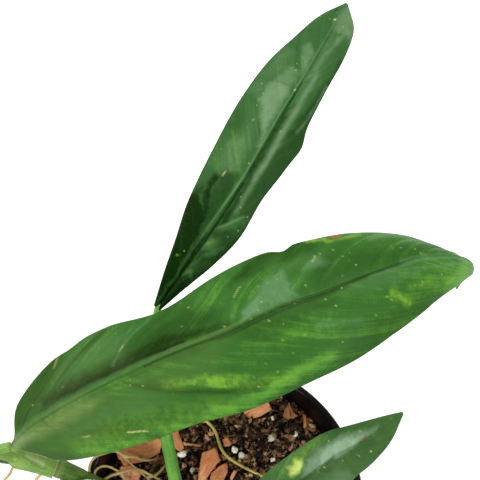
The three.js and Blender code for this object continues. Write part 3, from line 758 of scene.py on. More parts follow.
UPPER_GREEN = BladeFinish("upper_blade", "062500", "365f2f", "5a8340", "5d8c56", "86a27c", "86a56e", 0.38)
BROAD_GREEN = BladeFinish("broad_blade", "162b02", "356526", "5e9836", "4a7038", "6d9468", "86a86a", 0.4)
SMALL_GREEN = BladeFinish("small_blade", "223b1c", "3d5e30", "5d833e", "4d6c44", "8da88b", "86a86a", 0.36)
PETIOLE_GREEN = StalkFinish("petiole_skin", "569038", "86bc54", "a8cc80", "7a6a3c", 0.5)
STEM_GREEN = StalkFinish("stem_skin", "3e5e22", "7ca046", "a4bc6c", "8a7a48", 0.5)
SHEATH_GREEN = StalkFinish("sheath", "6c9440", "a0bf66", "e2e2ba", "b0a070", 0.5)
TAN_ROOT = RootFinish("aerial_root", "c49e58", "f0d898", "e0c078")
OLIVE_ROOT = RootFinish("olive_root", "a8983e", "e8d07a", "bcb056")
MIX_BROWN = GroundFinish("potting_mix", "040302", "150d09", "33231a", "5c4636")
CRUMB_BROWN = GroundFinish("mix_crumbs", "24160d", "86603f", "d8a680", "ecccb0")
FIBRE_BROWN = GroundFinish("mix_fibres", "3a2617", "7d5638", "c0946a", "e0be90")
BARK_RED = BarkFinish("bark", "4a2413", "d07c4c", "f2b080", "fcd2ac")
PERLITE_WHITE = PerliteFinish("perlite", "fff8e6", "f6ead0", "cdb48c")
POT_BLACK = PlasticFinish("pot_plastic", "010102", "050606", "151413", 0.46)


# Leaf blades


@dataclass(frozen=True)
class Mark:
    """A coloured mark on a blade, in hundredths of its length and half width.

    The first number of a point runs from the base to the tip, and the second from the midrib to the
    margin, negative on the left half. The width and the softness of its edge are in millimetres.
    """

    tone: Tone
    points: tuple[Place, ...]
    strength: float = 1.0
    soft: float = 2.0
    width: float = 1.0
    edge: Edge = Edge.STROKE


@dataclass(frozen=True)
class BladeShape:
    """The sizes of a blade, as its solid has them, with the run of its side veins."""

    midrib: tuple[Point, ...]
    left: tuple[float, ...]
    right: tuple[float, ...]
    left_fold: tuple[float, ...]
    right_fold: tuple[float, ...]
    left_edge: tuple[float, ...]
    right_edge: tuple[float, ...]
    keel: float
    left_notches: tuple[tuple[float, float, float], ...] = ()
    right_notches: tuple[tuple[float, float, float], ...] = ()
    left_veins: tuple[float, ...] = ()
    right_veins: tuple[float, ...] = ()
    left_lead: Place = (0.15, 1.6)
    right_lead: Place = (0.15, 1.3)
    left_puff: float = 0.5
    right_puff: float = 0.4
    rib_place: tuple[float, ...] = (-0.4, -0.3, -0.2)
    rib_width: tuple[float, ...] = (1.0, 0.8, 0.5)
    rib_strength: tuple[float, ...] = (0.3, 0.5, 0.3)
    groove_place: tuple[float, ...] = (0.35, 0.35)
    # painted light and shade across each puff between side veins, for the left and the right half
    painted_flank_shading: Place = (0.06, 0.05)


@dataclass
class LeafBlade:
    """One leaf blade: a thin closed sheet, puffed between its side veins, with a keel below.

    Thicknesses, widths, heights and wavers are in millimetres. The rooms are the shares of the width or
    the length, next to the midrib, the base and the tip, in which the puffs and the veins fade out.
    """

    name: str
    shape: BladeShape
    finish: BladeFinish
    marks: tuple[Mark, ...]
    rows: int
    lamina_columns: int
    thickness: float = 0.8
    margin_thickness: float = 0.4
    groove_depth: float = 0.45
    groove_width: float = 0.45
    shoulder_height: float = 0.16
    vein_width: float = 0.6
    vein_depth: float = 0.07
    vein_reach: float = 0.8
    rib_room: float = 0.18
    base_room: float = 0.04
    tip_room: float = 0.1
    rib_fade: float = 0.25
    patch_waver: float = 1.3
    stroke_waver: float = 0.25
    fold_steps: int = 12
    rib_columns: tuple[float, ...] = (0.0, 0.012, 0.025, 0.04, 0.06, 0.085, 0.115)
    edge_columns: tuple[float, ...] = (0.975, 0.99, 1.0)
    table: dict[str, np.ndarray] = field(default_factory=dict)

    def shares(self) -> np.ndarray:
        """Places from the midrib to the margin, closer together at both."""
        middle = np.linspace(self.rib_columns[-1], self.edge_columns[0], self.lamina_columns + 2)[1:-1]
        return np.concatenate([self.rib_columns, middle, self.edge_columns])

    def lay_out(self) -> None:
        """Works out the midrib's frames and the middle surface of both halves."""
        t = np.linspace(0.0, 1.0, self.rows + 1)
        step = 0.001
        centre = spread(self.shape.midrib, t)
        ahead = spread(self.shape.midrib, np.minimum(t + step, 1.0))
        forward = unit(ahead - spread(self.shape.midrib, np.maximum(t - step, 0.0)))
        side = carried(forward, np.cross(forward[0], UP))
        up = np.cross(side, forward)
        left = self.half(t, centre, side, up, "left", -1)
        right = self.half(t, centre, side, up, "right", 1)
        self.table = {key: np.concatenate([left[key][:, ::-1], right[key][:, 1:]], axis=1) for key in left}
        self.table["t"] = np.repeat(t[:, None], self.table["share"].shape[1], axis=1)
        self.table["length"] = np.linalg.norm(np.diff(centre, axis=0), axis=1).sum()
        flat = self.table["surface"].reshape(-1, 3)
        self.table["sway"] = np.stack([
            (lumps(flat, 7.0, 3, seed) + 0.5 * lumps(flat, 1.6, 2, seed)).reshape(self.table["t"].shape)
            for seed in (1.0, 2.0)])

    def half(self, t: np.ndarray, centre: np.ndarray, side: np.ndarray, up: np.ndarray,
             name: str, sign: int) -> dict[str, np.ndarray]:
        """One half of the middle surface.

        Args:
            t: places along the midrib.
            centre: the midrib's points.
            side: which way the right half lies, at each point.
            up: which way the blade faces, at each point.
            name: left or right.
            sign: -1 for the left half and 1 for the right.

        Returns:
            The points (surface), the shares of the half width (share) and the reaches in millimetres
            (across), both negative on the left, and the lanes, which follow the side veins.
        """
        reach = np.maximum(spread(getattr(self.shape, name), t), 0.3)
        for place, length, depth in getattr(self.shape, f"{name}_notches"):
            reach = reach + depth * bell(t, place, length)
        fold = np.radians(spread(getattr(self.shape, f"{name}_fold"), t))
        edge = np.radians(spread(getattr(self.shape, f"{name}_edge"), t))
        lead, power = getattr(self.shape, f"{name}_lead")
        share = np.repeat(self.shares()[None, :], len(t), axis=0)
        across = np.zeros_like(share)
        height = np.zeros_like(share)
        for k in range(self.fold_steps):
            angle = fold[:, None] + (edge - fold)[:, None] * share * (k + 0.5) / self.fold_steps
            across += np.cos(angle) / self.fold_steps
            height += np.sin(angle) / self.fold_steps
        run = (reach[:, None] * share)[:, :, None]
        points = centre[:, None] + sign * run * across[:, :, None] * side[:, None]
        points = points + run * height[:, :, None] * up[:, None]
        return {"surface": points, "share": sign * share, "across": sign * reach[:, None] * share,
                "lane": t[:, None] - lead * share**power}

    def between_veins(self) -> tuple[np.ndarray, np.ndarray]:
        """How far each point is from its side veins.

        Returns:
            A share from 0 at one vein to 1 at the next, and the distance to the nearest in millimetres.
        """
        t = self.table
        part = np.zeros_like(t["lane"])
        near = np.zeros_like(t["lane"])
        for name, chosen in (("left", t["share"] < 0), ("right", t["share"] >= 0)):
            veins = np.array([-0.25, *getattr(self.shape, f"{name}_veins"), 1.1])
            lane = t["lane"][chosen]
            i = np.clip(np.searchsorted(veins, lane) - 1, 0, len(veins) - 2)
            gap = veins[i + 1] - veins[i]
            f = (lane - veins[i]) / gap
            part[chosen] = f
            near[chosen] = np.minimum(f, 1 - f) * gap * t["length"]
        return np.clip(part, 0, 1), near

    def relief(self) -> np.ndarray:
        """Height of the upper face over the middle surface: puffs, veins, groove and shoulders."""
        t = self.table
        part, near = self.between_veins()
        share = np.abs(t["share"])
        wide = np.where(t["share"] < 0, self.shape.left_puff, self.shape.right_puff)
        room = smooth(share / self.rib_room) * (1 - 0.75 * share**2)
        room = room * smooth(t["t"] / self.base_room) * smooth((1 - t["t"]) / self.tip_room)
        puff = wide * room * (np.sin(np.pi * part) ** 0.75 - 0.5)
        veins = -self.vein_depth * bell(near, 0.0, self.vein_reach) * room
        thin = smooth((1 - t["t"]) / self.rib_fade)
        place, width, low = (spread(entries, t["t"][:, 0])[:, None] for entries in (
            self.shape.rib_place, self.shape.rib_width, self.shape.groove_place))
        groove = -self.groove_depth * bell(t["across"], low, self.groove_width)
        shoulder = self.shoulder_height * bell(t["across"], place, 0.4 + 0.45 * width)
        return puff + veins + (groove + shoulder) * (0.25 + 0.75 * thin)

    def mask(self, mark: Mark) -> np.ndarray:
        """How strongly a mark shows at each point of the upper face, from 0 to 1."""
        t = self.table
        length = float(t["length"])
        drift = self.patch_waver if mark.edge is Edge.PATCH else self.stroke_waver
        x = t["t"] * length + drift * t["sway"][0]
        y = t["across"] + drift * t["sway"][1]
        corners = []
        for place, share in np.array(mark.points) / 100:
            name = "left" if share < 0 else "right"
            reach = max(float(spread(getattr(self.shape, name), np.array([place]))[0]), 0.3)
            corners.append((place * length, share * reach))
        if mark.edge is Edge.PATCH:
            corners.append(corners[0])
        distance = np.full(x.shape, np.inf)
        inside = np.zeros(x.shape, bool)
        pairs = list(zip(corners[:-1], corners[1:])) or [(corners[0], corners[0])]
        for (ax, ay), (bx, by) in pairs:
            long = max((bx - ax) ** 2 + (by - ay) ** 2, 1e-9)
            f = np.clip(((x - ax) * (bx - ax) + (y - ay) * (by - ay)) / long, 0, 1)
            distance = np.minimum(distance, np.hypot(x - ax - f * (bx - ax), y - ay - f * (by - ay)))
            if mark.edge is Edge.PATCH and ay != by:
                crosses = (ay > y) != (by > y)
                inside ^= crosses & (x < ax + (bx - ax) * (y - ay) / (by - ay))
        if mark.edge is Edge.PATCH:
            signed = np.where(inside, -distance, distance)
        else:
            signed = distance - mark.width / 2
        return mark.strength * smooth(0.5 - signed / mark.soft)

    def attributes(self) -> dict[str, np.ndarray]:
        """What the finish reads: marks, painted shading of the puffs' flanks, veins, midrib, flow along the
        veins, and the underside.
        """
        t = self.table
        values: dict[str, np.ndarray] = {tone.value: np.zeros_like(t["t"]) for tone in Tone}
        for mark in self.marks:
            held = self.mask(mark)
            key = mark.tone.value
            values[key] = values[key] + held if mark.tone is Tone.LIGHT else np.maximum(values[key], held)
        part, near = self.between_veins()
        share = np.abs(t["share"])
        # painted light and shade: one flank of each puff lighter, the other darker
        flank = np.where(t["share"] < 0, *self.shape.painted_flank_shading) * np.cos(np.pi * part) * smooth(share / 0.35)
        values[Tone.LIGHT.value] += flank
        values["vein"] = bell(near, 0.0, self.vein_width) * smooth(1.2 - share) * smooth(share / 0.1)
        rows = t["t"][:, 0]
        centre, width, strength = (spread(entries, rows)[:, None] for entries in (
            self.shape.rib_place, self.shape.rib_width, self.shape.rib_strength))
        values["rib"] = strength * smooth(0.5 + (width / 2 - np.abs(t["across"] - centre)) / 0.6)
        flow = np.stack([t["lane"] * t["length"], t["across"], np.sign(t["share"]) * 40.0], axis=-1) * MM
        top = {key: column.ravel() for key, column in values.items()}
        result = {key: np.concatenate([column, column * 0.0]) for key, column in top.items()}
        result["flow"] = np.concatenate([flow.reshape(-1, 3)] * 2)
        result["under"] = np.concatenate([np.zeros(near.size), np.ones(near.size)])
        result["rib"][near.size :] = bell(t["across"].ravel(), 0.0, 1.4)
        return result

    def build(self) -> None:
        """Makes the blade and puts it in the frame."""
        self.lay_out()
        t = self.table
        surface = t["surface"]
        normal = unit(np.cross(np.gradient(surface, axis=1), np.gradient(surface, axis=0)))
        share = np.abs(t["share"])
        half = 0.5 * (self.thickness + (self.margin_thickness - self.thickness) * share)
        half = half * np.sqrt(np.clip(1.02 - share**24, 0.02, 1.0))
        relief = self.relief()
        depth = self.shape.keel * (0.12 + 0.88 * (1 - t["t"]) ** 1.6)
        keel = depth * bell(t["across"], 0.0, 0.9 + 0.45 * self.shape.keel * (1 - 0.7 * t["t"]))
        part = smooth((1.0 - share) / 0.04)
        top = surface + normal * (half + relief * part)[:, :, None]
        bottom = surface + normal * (relief * part * (np.abs(t["across"]) > 2.0) - half - keel)[:, :, None]
        points = np.concatenate([top.reshape(-1, 3), bottom.reshape(-1, 3)])
        faces = sheet_faces(self.rows + 1, surface.shape[1])
        piece = make_piece(self.name, points, faces, self.finish.material(), self.attributes())
        settle(piece, self.finish.name, self.name)


def strokes(tone: Tone, *lines: tuple) -> tuple[Mark, ...]:
    """Lines of one tone, each with its strength, its width, the softness of its edge and its points."""
    return tuple(Mark(tone, tuple(points), strength, soft, width)
                 for strength, width, soft, *points in lines)


def patches(tone: Tone, *shapes: tuple) -> tuple[Mark, ...]:
    """Filled patches of one tone, each with its strength, the softness of its edge and its corners."""
    return tuple(Mark(tone, tuple(points), strength, soft, 0.0, Edge.PATCH)
                 for strength, soft, *points in shapes)


def flecks(tone: Tone, strength: float, width: float, *places: Place) -> tuple[Mark, ...]:
    """Small dots of one colour."""
    return tuple(Mark(tone, (place,), strength, 0.7, width) for place in places)


UPPER_SHAPE = BladeShape(
    midrib=((-27, 78, 134), (-16, 92, 141), (-4, 109, 146), (9, 130, 149),
            (22, 155, 149), (36, 181, 146), (48, 205, 141), (57, 222, 137)),
    left=(1.7, 6, 10, 14.5, 17.2, 18.5, 18.7, 17.2, 12.3, 7.3, 0.6),
    right=(1.8, 5, 9.2, 12.2, 11.7, 14.2, 13.4, 12.4, 12.2, 9.4, 0.6),
    left_fold=(25, 18, 15, 12, 10),
    right_fold=(30, 25, 20, 15, 10),
    left_edge=(0, -10, -20, -15, 0),
    right_edge=(-20, -30, -40, -25, 0),
    keel=2.3,
    right_notches=((0.545, 0.035, 1.8),),
    left_veins=(0.1, 0.18, 0.27, 0.39, 0.5, 0.6, 0.7, 0.8, 0.88),
    right_veins=(0.08, 0.17, 0.27, 0.37, 0.475, 0.57, 0.67, 0.77, 0.86),
    left_lead=(0.14, 1.1),
    right_lead=(0.14, 1.2),
    left_puff=0.3,
    right_puff=0.2,
    rib_place=(-0.6, -1.2, -1.7, -1.45, -0.6, 0.0, 0.25, 0.35, 0.4, 0.4, 0.0),
    rib_width=(0.4, 0.5, 0.6, 0.9, 0.9, 0.8, 0.7, 0.7, 0.6, 0.5, 0.4),
    rib_strength=(0.05, 0.1, 0.2, 0.5, 0.85, 0.75, 0.7, 0.6, 0.45, 0.3, 0.0),
    groove_place=(0.3, 0.4, 0.6, 0.9, 1.0, 1.05, 1.15, 1.2, 1.2, 1.0, 0.5),
)
UPPER_MARKS = (
    # painted shade: the dark base and the folds and sides turned from the light
    *patches(
        DARK,
        (1.0, 3.5, (-5, -120), (30, -120), (34.5, -88), (31, -52), (30, -30), (24, -20), (10, -25),
         (-5, -30)),
        (1.0, 3.5, (-5, -40), (10, -28), (24, -22), (27, 4), (20, 10), (13, 20), (11, 120), (-5, 120)),
        (0.9, 2.5, (28, -38), (31, -55), (34.5, -69), (39.5, -70), (40.5, -60), (40, -48), (36.5, -54),
         (33.5, -44), (31, -30)),
        (0.6, 4.0, (29, -110), (35, -95), (37.5, -75), (34, -70), (30, -80)),
        (0.62, 4.0, (24, -15), (29, -40), (36, -55), (41, -50), (42.5, -20), (41, -8)),
        (0.85, 4.0, (10, 8), (21.5, 8), (22.5, 40), (20, 30), (16.5, 20), (13.5, 20), (14, 70), (13, 120),
         (8, 120)),
        (0.7, 3.0, (16.5, 30), (20, 30), (21.5, 65), (30, 80), (32, 120), (12, 120)),
        (0.6, 3.0, (28, 8), (28.5, 40), (31, 75), (36, 120), (28, 120), (25, 60), (27, 10)),
        (0.8, 3.0, (28, 12), (60, 12), (62, 24), (56, 30), (46, 28), (40, 32), (34, 38), (31, 35)),
        (0.35, 4.0, (24, -2), (24, -14), (36, -20), (36, -2)),
        (0.5, 3.5, (33, 50), (38, 50), (45, 42), (52, 45), (58, 60), (68, 75), (78, 90), (80, 130),
         (35, 130)),
        (0.2, 4.0, (50, -60), (54, -55), (56, -90), (52, -110)),
    ),
    # painted shade: shadow lines along the midrib's groove and the folds
    *strokes(
        DARK,
        (0.5, 1.0, 2.5, (40, -50), (41, -30), (42, -12)),
        (1.0, 1.6, 2.0, (10, 0), (25, 7), (33, 8), (41, 9)),
        (0.95, 0.9, 1.3, (40, 9), (50, 8.5), (60, 9.5), (68, 10)),
        (0.45, 0.5, 1.2, (68, 10), (80, 10), (90, 8)),
        (0.6, 0.5, 1.2, (50.8, -6), (52.2, -15), (55, -32)),
        (0.4, 0.5, 1.6, (70, 15), (72, 32), (73, 42)),
        (0.4, 1.6, 3.0, (92, -10), (94, -35), (95, -60)),
    ),
    # painted sheen: gloss patches on the left half and the pale tip
    *patches(
        SHEEN,
        (0.55, 3.0, (50.5, -5), (52.5, -12), (55.5, -25), (58, -40), (60, -58), (63, -60), (65.5, -50),
         (65, -10)),
        (0.15, 4.0, (60, -60), (61, -95), (65, -95), (65, -60)),
        (0.3, 3.0, (57, -20), (59, -40), (63, -50), (64, -25)),
        (0.08, 4.0, (41.5, -60), (43, -75), (49, -80), (50, -45), (47, -25), (43, -30)),
        (0.32, 4.0, (65, -10), (66, -50), (70, -45), (70, -10)),
        (0.38, 3.0, (70.5, -4), (72.5, -25), (76, -42), (79, -40), (77, -4)),
        (0.15, 6.0, (65, -60), (75, -60), (75, -95), (66, -95)),
        (0.15, 6.0, (66, 10), (85, 10), (85, 30), (70, 50)),
        (0.4, 6.0, (86, 20), (90, 5), (96, 10), (105, -30), (105, 120), (84, 120)),
    ),
    # painted highlights along veins and folds
    *strokes(
        SHEEN,
        (0.3, 0.7, 1.6, (70, -4), (73, -25), (77.5, -48)),
        (0.25, 1.6, 2.6, (34.5, 43), (39, 40), (44, 38)),
        (0.45, 1.7, 2.6, (43, 38), (50, 38), (55, 40), (60, 42), (66, 42), (71, 44)),
        (0.35, 2.2, 3.2, (72, 30), (77, 32), (82, 50), (87, 70)),
        (0.45, 0.6, 1.4, (29.3, 22), (30.5, 36), (32.5, 56), (34.5, 74)),
        (0.35, 0.8, 1.8, (57, 76), (60, 86), (65, 93), (70, 92)),
    ),
    # lighter green, partly the leaf's own and partly painted light on the tip and the left half
    *patches(
        LIGHT,
        (0.25, 5.0, (83, -110), (93, -110), (92, -40), (88, -50)),
        (0.25, 6.0, (40, -110), (50, -110), (50, -20), (42, -20)),
    ),
    # painted light on the lit flanks of side veins, partly paler green
    *strokes(
        LIGHT,
        (0.5, 1.6, 3.0, (14.5, 22), (15, 45), (16.5, 62)),
        (0.6, 3.0, 3.5, (24, 16), (24.8, 30), (26.2, 48)),
        (0.5, 4.0, 5.0, (18, 50), (19.5, 75)),
    ),
    *strokes(
        YELLOW,
        (0.85, 0.8, 0.9, (16.8, -66), (17, -60)),
    ),
    *strokes(
        CREAM,
        (0.8, 0.3, 0.6, (40.4, -46), (41.4, -45)),
        (0.8, 0.8, 1.0, (90, -6), (90.3, -2)),
        (0.5, 0.5, 0.8, (93, 96), (95, 98)),
    ),
    *flecks(CREAM, 0.95, 0.5, (65.5, 3.5)),
    *flecks(CREAM, 0.7, 0.35, (55, 33), (70, -23), (55, -45), (35, 85)),
    *flecks(BROWN, 0.5, 0.4, (52, -15), (90.5, 3)),
)
BROAD_SHAPE = BladeShape(
    midrib=((-85, 24, 124), (-74.6, 31.2, 133), (-57, 39.9, 144), (-38, 48, 153), (-19, 56, 158),
            (0, 63, 161), (19, 72, 162), (38, 79, 161), (57, 87, 157), (78, 95, 150),
            (95.5, 98, 140.6), (106.6, 97.4, 128.2), (105.6, 94.2, 116), (105.2, 91.8, 109)),
    left=(1.7, 12.3, 21, 23, 19.3, 22.6, 22.4, 22, 19.4, 13.6, 7.6, 5, 2.6, 0.6),
    right=(2, 16.7, 23.8, 26.8, 28, 30, 30.5, 28.9, 25.2, 19.6, 12.2, 4.2, 1.5, 0.6),
    left_fold=(0, -35, -45, -30, 10, 22, -30, -75, -85),
    right_fold=(-5, -5, -5, 0, 12, 15, 8, -5, -20),
    left_edge=(10, 5, -10, -20, -35, -50, -60, -80, -85),
    right_edge=(-20, -20, -20, -20, -25, -25, -25, -20, -15),
    keel=2.6,
    left_notches=((0.024, 0.024, -3.5), (0.165, 0.018, -1), (0.505, 0.014, -1.8)),
    left_veins=(0.045, 0.105, 0.155, 0.21, 0.3, 0.395, 0.47, 0.535, 0.62, 0.7, 0.78, 0.86),
    right_veins=(0.06, 0.14, 0.235, 0.32, 0.41, 0.5, 0.58, 0.66, 0.74, 0.82),
    left_lead=(0.14, 1.7),
    right_lead=(0.225, 1.35),
    left_puff=0.7,
    right_puff=0.25,
    rib_place=(-0.8, -1.4, -1.4, -1.1, -0.8, -0.4, -0.25, -0.2, -0.2, -0.1, 0.0),
    rib_width=(1.6, 2.2, 2.1, 1.8, 1.3, 0.8, 0.6, 0.5, 0.5, 0.5, 0.4),
    rib_strength=(0.3, 0.6, 0.6, 0.7, 0.85, 0.65, 0.5, 0.35, 0.25, 0.2, 0.0),
    painted_flank_shading=(0.1, 0.06),
)
BROAD_MARKS = (
    # painted shade: the dark band above the midrib, crease and fold shadows and the groove's shadow line
    *strokes(
        DARK,
        (1.0, 2.8, 2.6, (13, -26), (16, -21), (20, -19), (25, -18.5), (30, -17), (33, -14)),
        (0.7, 1.4, 2.2, (32, -14), (35, -12), (39, -8)),
        (0.45, 3.0, 5.0, (9, -65), (9.8, -40), (11.8, -26)),
        (0.75, 1.0, 2.4, (11, -24), (12, -42), (13.5, -55), (15.5, -67), (18.5, -82), (22, -96)),
        (0.35, 2.0, 5.0, (26, -56), (29, -75), (33, -100)),
        (0.5, 0.5, 1.2, (10, 1.5), (15, 1.8), (20, 2), (30, 2)),
        (0.95, 0.9, 1.4, (27, 2), (38, 2), (50, 3), (58, 3), (66, 3)),
        (0.8, 1.4, 2.0, (38, 4), (44, 6), (50, 6), (57, 5)),
        (0.65, 1.2, 2.6, (23.5, 10), (24.8, 20), (27, 34), (29, 45), (33, 60), (37, 70), (41, 77)),
        (0.3, 3.0, 4.0, (26.2, 25), (27.5, 32), (30, 46), (32, 55)),
        (0.4, 1.6, 3.0, (14.5, 55), (17, 56), (19, 66), (21.5, 80), (24, 95)),
        (0.6, 0.5, 1.0, (10, 2), (10.5, 15), (11.2, 30)),
        (0.25, 1.6, 3.0, (14, 6), (24, 7), (36, 8)),
    ),
    # painted shade: the parts of the halves and folds turned from the light
    *patches(
        DARK,
        (0.42, 6.0, (3, -120), (18, -120), (12.5, -55), (10.5, -20), (4, -30)),
        (0.9, 7.5, (10, -20), (10.5, -52), (16, -44), (20, -37), (25, -43), (30, -50), (34, -40), (38, -20),
         (40, -8), (30, -9), (16, -12)),
        (0.5, 7.0, (23, -30), (26, -60), (35, -75), (39, -40), (39, -20)),
        (0.25, 8.0, (25, -60), (29, -95), (35, -95), (38, -50)),
        (0.45, 4.0, (43, -66), (45, -90), (49, -120), (56, -100), (55, -72), (50, -68), (46.5, -66)),
        (0.25, 6.0, (53, -10), (53, -42), (56, -62), (66, -40), (71, -30), (71, -8)),
        (0.3, 5.0, (40, 8), (43, 40), (50, 30), (56, 12), (50, 6)),
        (0.3, 6.0, (-2, 60), (4, 55), (10, 75), (13, 120), (-2, 120)),
        (0.3, 6.0, (55, 70), (62, 65), (72, 85), (72, 120), (50, 120)),
    ),
    # painted sheen: gloss patches and the pale haze at the base
    *patches(
        SHEEN,
        (0.65, 2.6, (41.7, -6), (42.5, -18), (44, -26), (45.5, -34), (45, -6)),
        (0.55, 3.4, (44, -7), (45, -32), (46.5, -48), (49, -52), (49.5, -35), (50.2, -8)),
        (0.35, 3.5, (52, -40), (52.5, -55), (55, -60), (56, -42)),
        (0.12, 4.0, (13, -45), (15, -60), (20, -80), (25, -85), (23, -50), (17, -45)),
        (0.2, 6.0, (56, 6), (66, 6), (70, 30), (60, 25)),
        (0.1, 6.0, (12, 45), (24, 30), (28, 55), (26, 60), (18, 50)),
        (0.45, 5.0, (-3, -40), (3, -30), (5, 0), (8, 20), (4, 38), (-3, 50)),
    ),
    # painted highlights along creases, veins and the fold near the tip
    *strokes(
        SHEEN,
        (0.5, 1.2, 2.2, (61, 6), (66, 6), (72, 6), (80, 5)),
        (0.4, 0.6, 1.6, (22.2, -30), (24, -54), (26.5, -75), (29.5, -93)),
        (0.3, 0.5, 1.6, (23.2, -40), (25, -70), (27, -95)),
        (0.3, 0.5, 1.4, (40.4, -10), (41, -25), (42, -40)),
        (0.4, 0.8, 2.0, (63.5, 6), (66.5, 16), (70, 25), (73.5, 28), (78, 24), (81, 10)),
        (0.35, 0.8, 2.0, (66, -2), (71, 0), (78, 0)),
        (0.35, 1.6, 3.5, (51.5, 38), (54, 44), (57, 54)),
        (0.4, 1.4, 3.0, (63.5, -70), (67, -80), (72, -85), (77, -60)),
    ),
    # painted sheen: a pale cream haze of reflected light near the base and over the halves
    *patches(
        CREAM,
        (0.17, 5.0, (-3, -40), (3, -30), (5, 0), (7, 22), (4, 38), (-3, 50)),
        (0.13, 8.0, (-3, -5), (4, 0), (12, 2), (18, 4), (20, 20), (13, 34), (5, 40), (-3, 50)),
        (0.07, 3.0, (11.2, 4), (17, 5), (19, 15), (14, 28), (12, 24)),
        (0.03, 9.0, (-3, -20), (20, 0), (40, 0), (36, 40), (20, 50), (10, 120), (-3, 120)),
        (0.02, 9.0, (-3, -120), (22, -120), (26, -20), (-3, -20)),
    ),
    *strokes(
        CREAM,
        (0.6, 0.45, 0.7, (0.5, 92), (3, 97), (6, 98.5)),
        (0.6, 0.2, 0.6, (42.2, -46), (43, -53), (43.7, -58)),
        (0.6, 0.2, 0.6, (23.7, -50), (24.5, -58)),
        (0.8, 0.35, 0.6, (20.6, 77), (22.2, 81), (23.2, 84)),
        (0.5, 0.3, 0.7, (14.2, 60), (15.3, 62)),
        (0.6, 0.2, 0.6, (53.8, -52), (54.5, -58), (54.7, -63)),
        (0.5, 0.3, 0.9, (13.7, -86), (14.7, -97)),
    ),
    # lighter green, partly the leaf's own and partly painted light on the lower half and the tip
    *patches(
        LIGHT,
        (0.36, 9.0, (0, 5), (30, 5), (42, 50), (55, 50), (65, 10), (80, 10), (80, 130), (0, 130)),
        (0.3, 7.0, (56, 60), (70, 50), (78, 60), (76, 120), (52, 120)),
        (0.35, 4.0, (29, 35), (34, 40), (40, 60), (38, 72), (32, 50)),
        (0.2, 7.0, (2, -110), (10, -110), (9, -80), (3, -85)),
        (0.25, 7.0, (35, -35), (37, -95), (42, -100), (42, -50)),
        (0.3, 6.0, (60, -75), (63, -40), (70, -60), (74, -70), (70, -110), (62, -110)),
        (0.55, 9.0, (79, -120), (100, -120), (100, 130), (74, 130), (78, 40)),
        (0.2, 3.0, (34, 44), (37, 48), (39.5, 62), (37, 64)),
    ),
    # lighter bands, partly the leaf's own green and partly painted light on a lit vein flank
    *strokes(
        LIGHT,
        (0.5, 4.0, 8.0, (34, 86), (40, 84), (46, 80), (51, 80)),
        (0.45, 4.0, 6.0, (13, 85), (20, 92), (33, 94), (40, 90), (47, 80), (52, 80)),
        (0.4, 2.2, 3.0, (41, -20), (42.5, -42), (44.5, -58), (47, -70), (50, -82)),
    ),
    *patches(
        YELLOW,
        (0.15, 8.0, (12, 60), (22, 50), (36, 75), (36, 120), (12, 120)),
    ),
    *strokes(
        YELLOW,
        (0.36, 2.6, 4.5, (29, 36), (32, 43), (34, 46)),
        (0.45, 3.4, 4.0, (34.5, 48), (36.5, 54), (38.5, 62)),
        (0.25, 3.0, 5.0, (38, 66), (42, 76), (45, 85)),
        (0.45, 2.6, 3.5, (63.2, 42), (64, 55), (64.8, 68)),
        (0.25, 2.0, 4.0, (66, 45), (69, 52)),
        (0.5, 1.4, 2.0, (73.3, 76), (75, 73)),
        (0.6, 1.8, 2.4, (55, -97), (56.5, -93), (57.5, -90)),
        (0.45, 1.4, 2.2, (57.5, -84), (60, -82), (62.5, -87)),
    ),
    *strokes(
        BROWN,
        (1.0, 1.5, 1.0, (58.6, -95), (59.7, -94)),
        (0.6, 3.0, 5.0, (95, 30), (100, 0)),
    ),
    *flecks(CREAM, 0.75, 0.25, (39.3, -8), (51.6, -19), (43, 0), (45, 12), (40, 63), (40, 77), (57.5, -63),
            (55.5, -63), (35, -76), (33.3, -48), (66.7, -34), (68.8, -26), (14, -40), (8.8, -53),
            (25.7, 24), (54.5, 24), (34, -93), (59.5, -24)),
    *flecks(YELLOW, 0.9, 0.6, (45.7, 38), (34.5, 40), (68, 47), (59.5, 60), (62, 43), (62.5, 50),
            (64.4, 62), (65, 70), (43, 70), (42, 55), (44, 83), (46.5, 58), (49, 43), (31, 38), (32.5, 47),
            (36.5, 62)),
)
SMALL_SHAPE = BladeShape(
    midrib=((1, -7, 112), (16, 2, 118), (33, 12, 121), (45, 20, 121), (57, 26, 119), (76, 37, 112)),
    left=(1.6, 5, 7.8, 10.2, 11, 10.8, 10, 8.8, 7.2, 4.3, 0.6),
    right=(1.6, 6.2, 10.2, 13.2, 13.2, 12.7, 12, 10.8, 9.4, 6.6, 0.6),
    left_fold=(30, 30, 30, 25, 15),
    right_fold=(25, 25, 20, 15, 10),
    left_edge=(20, 10, 0, -5, 0),
    right_edge=(0, -5, -10, -10, 0),
    keel=1.7,
    left_veins=(0.08, 0.2, 0.32, 0.44, 0.56, 0.68, 0.8, 0.9),
    right_veins=(0.1, 0.22, 0.34, 0.46, 0.58, 0.7, 0.82, 0.92),
    left_lead=(0.2, 1.3),
    right_lead=(0.2, 1.3),
    left_puff=0.2,
    right_puff=0.18,
    rib_place=(-0.3, -0.3, -0.2, -0.2, -0.1),
    rib_width=(0.7, 0.6, 0.6, 0.5, 0.4),
    rib_strength=(0.3, 0.4, 0.4, 0.3, 0.0),
)
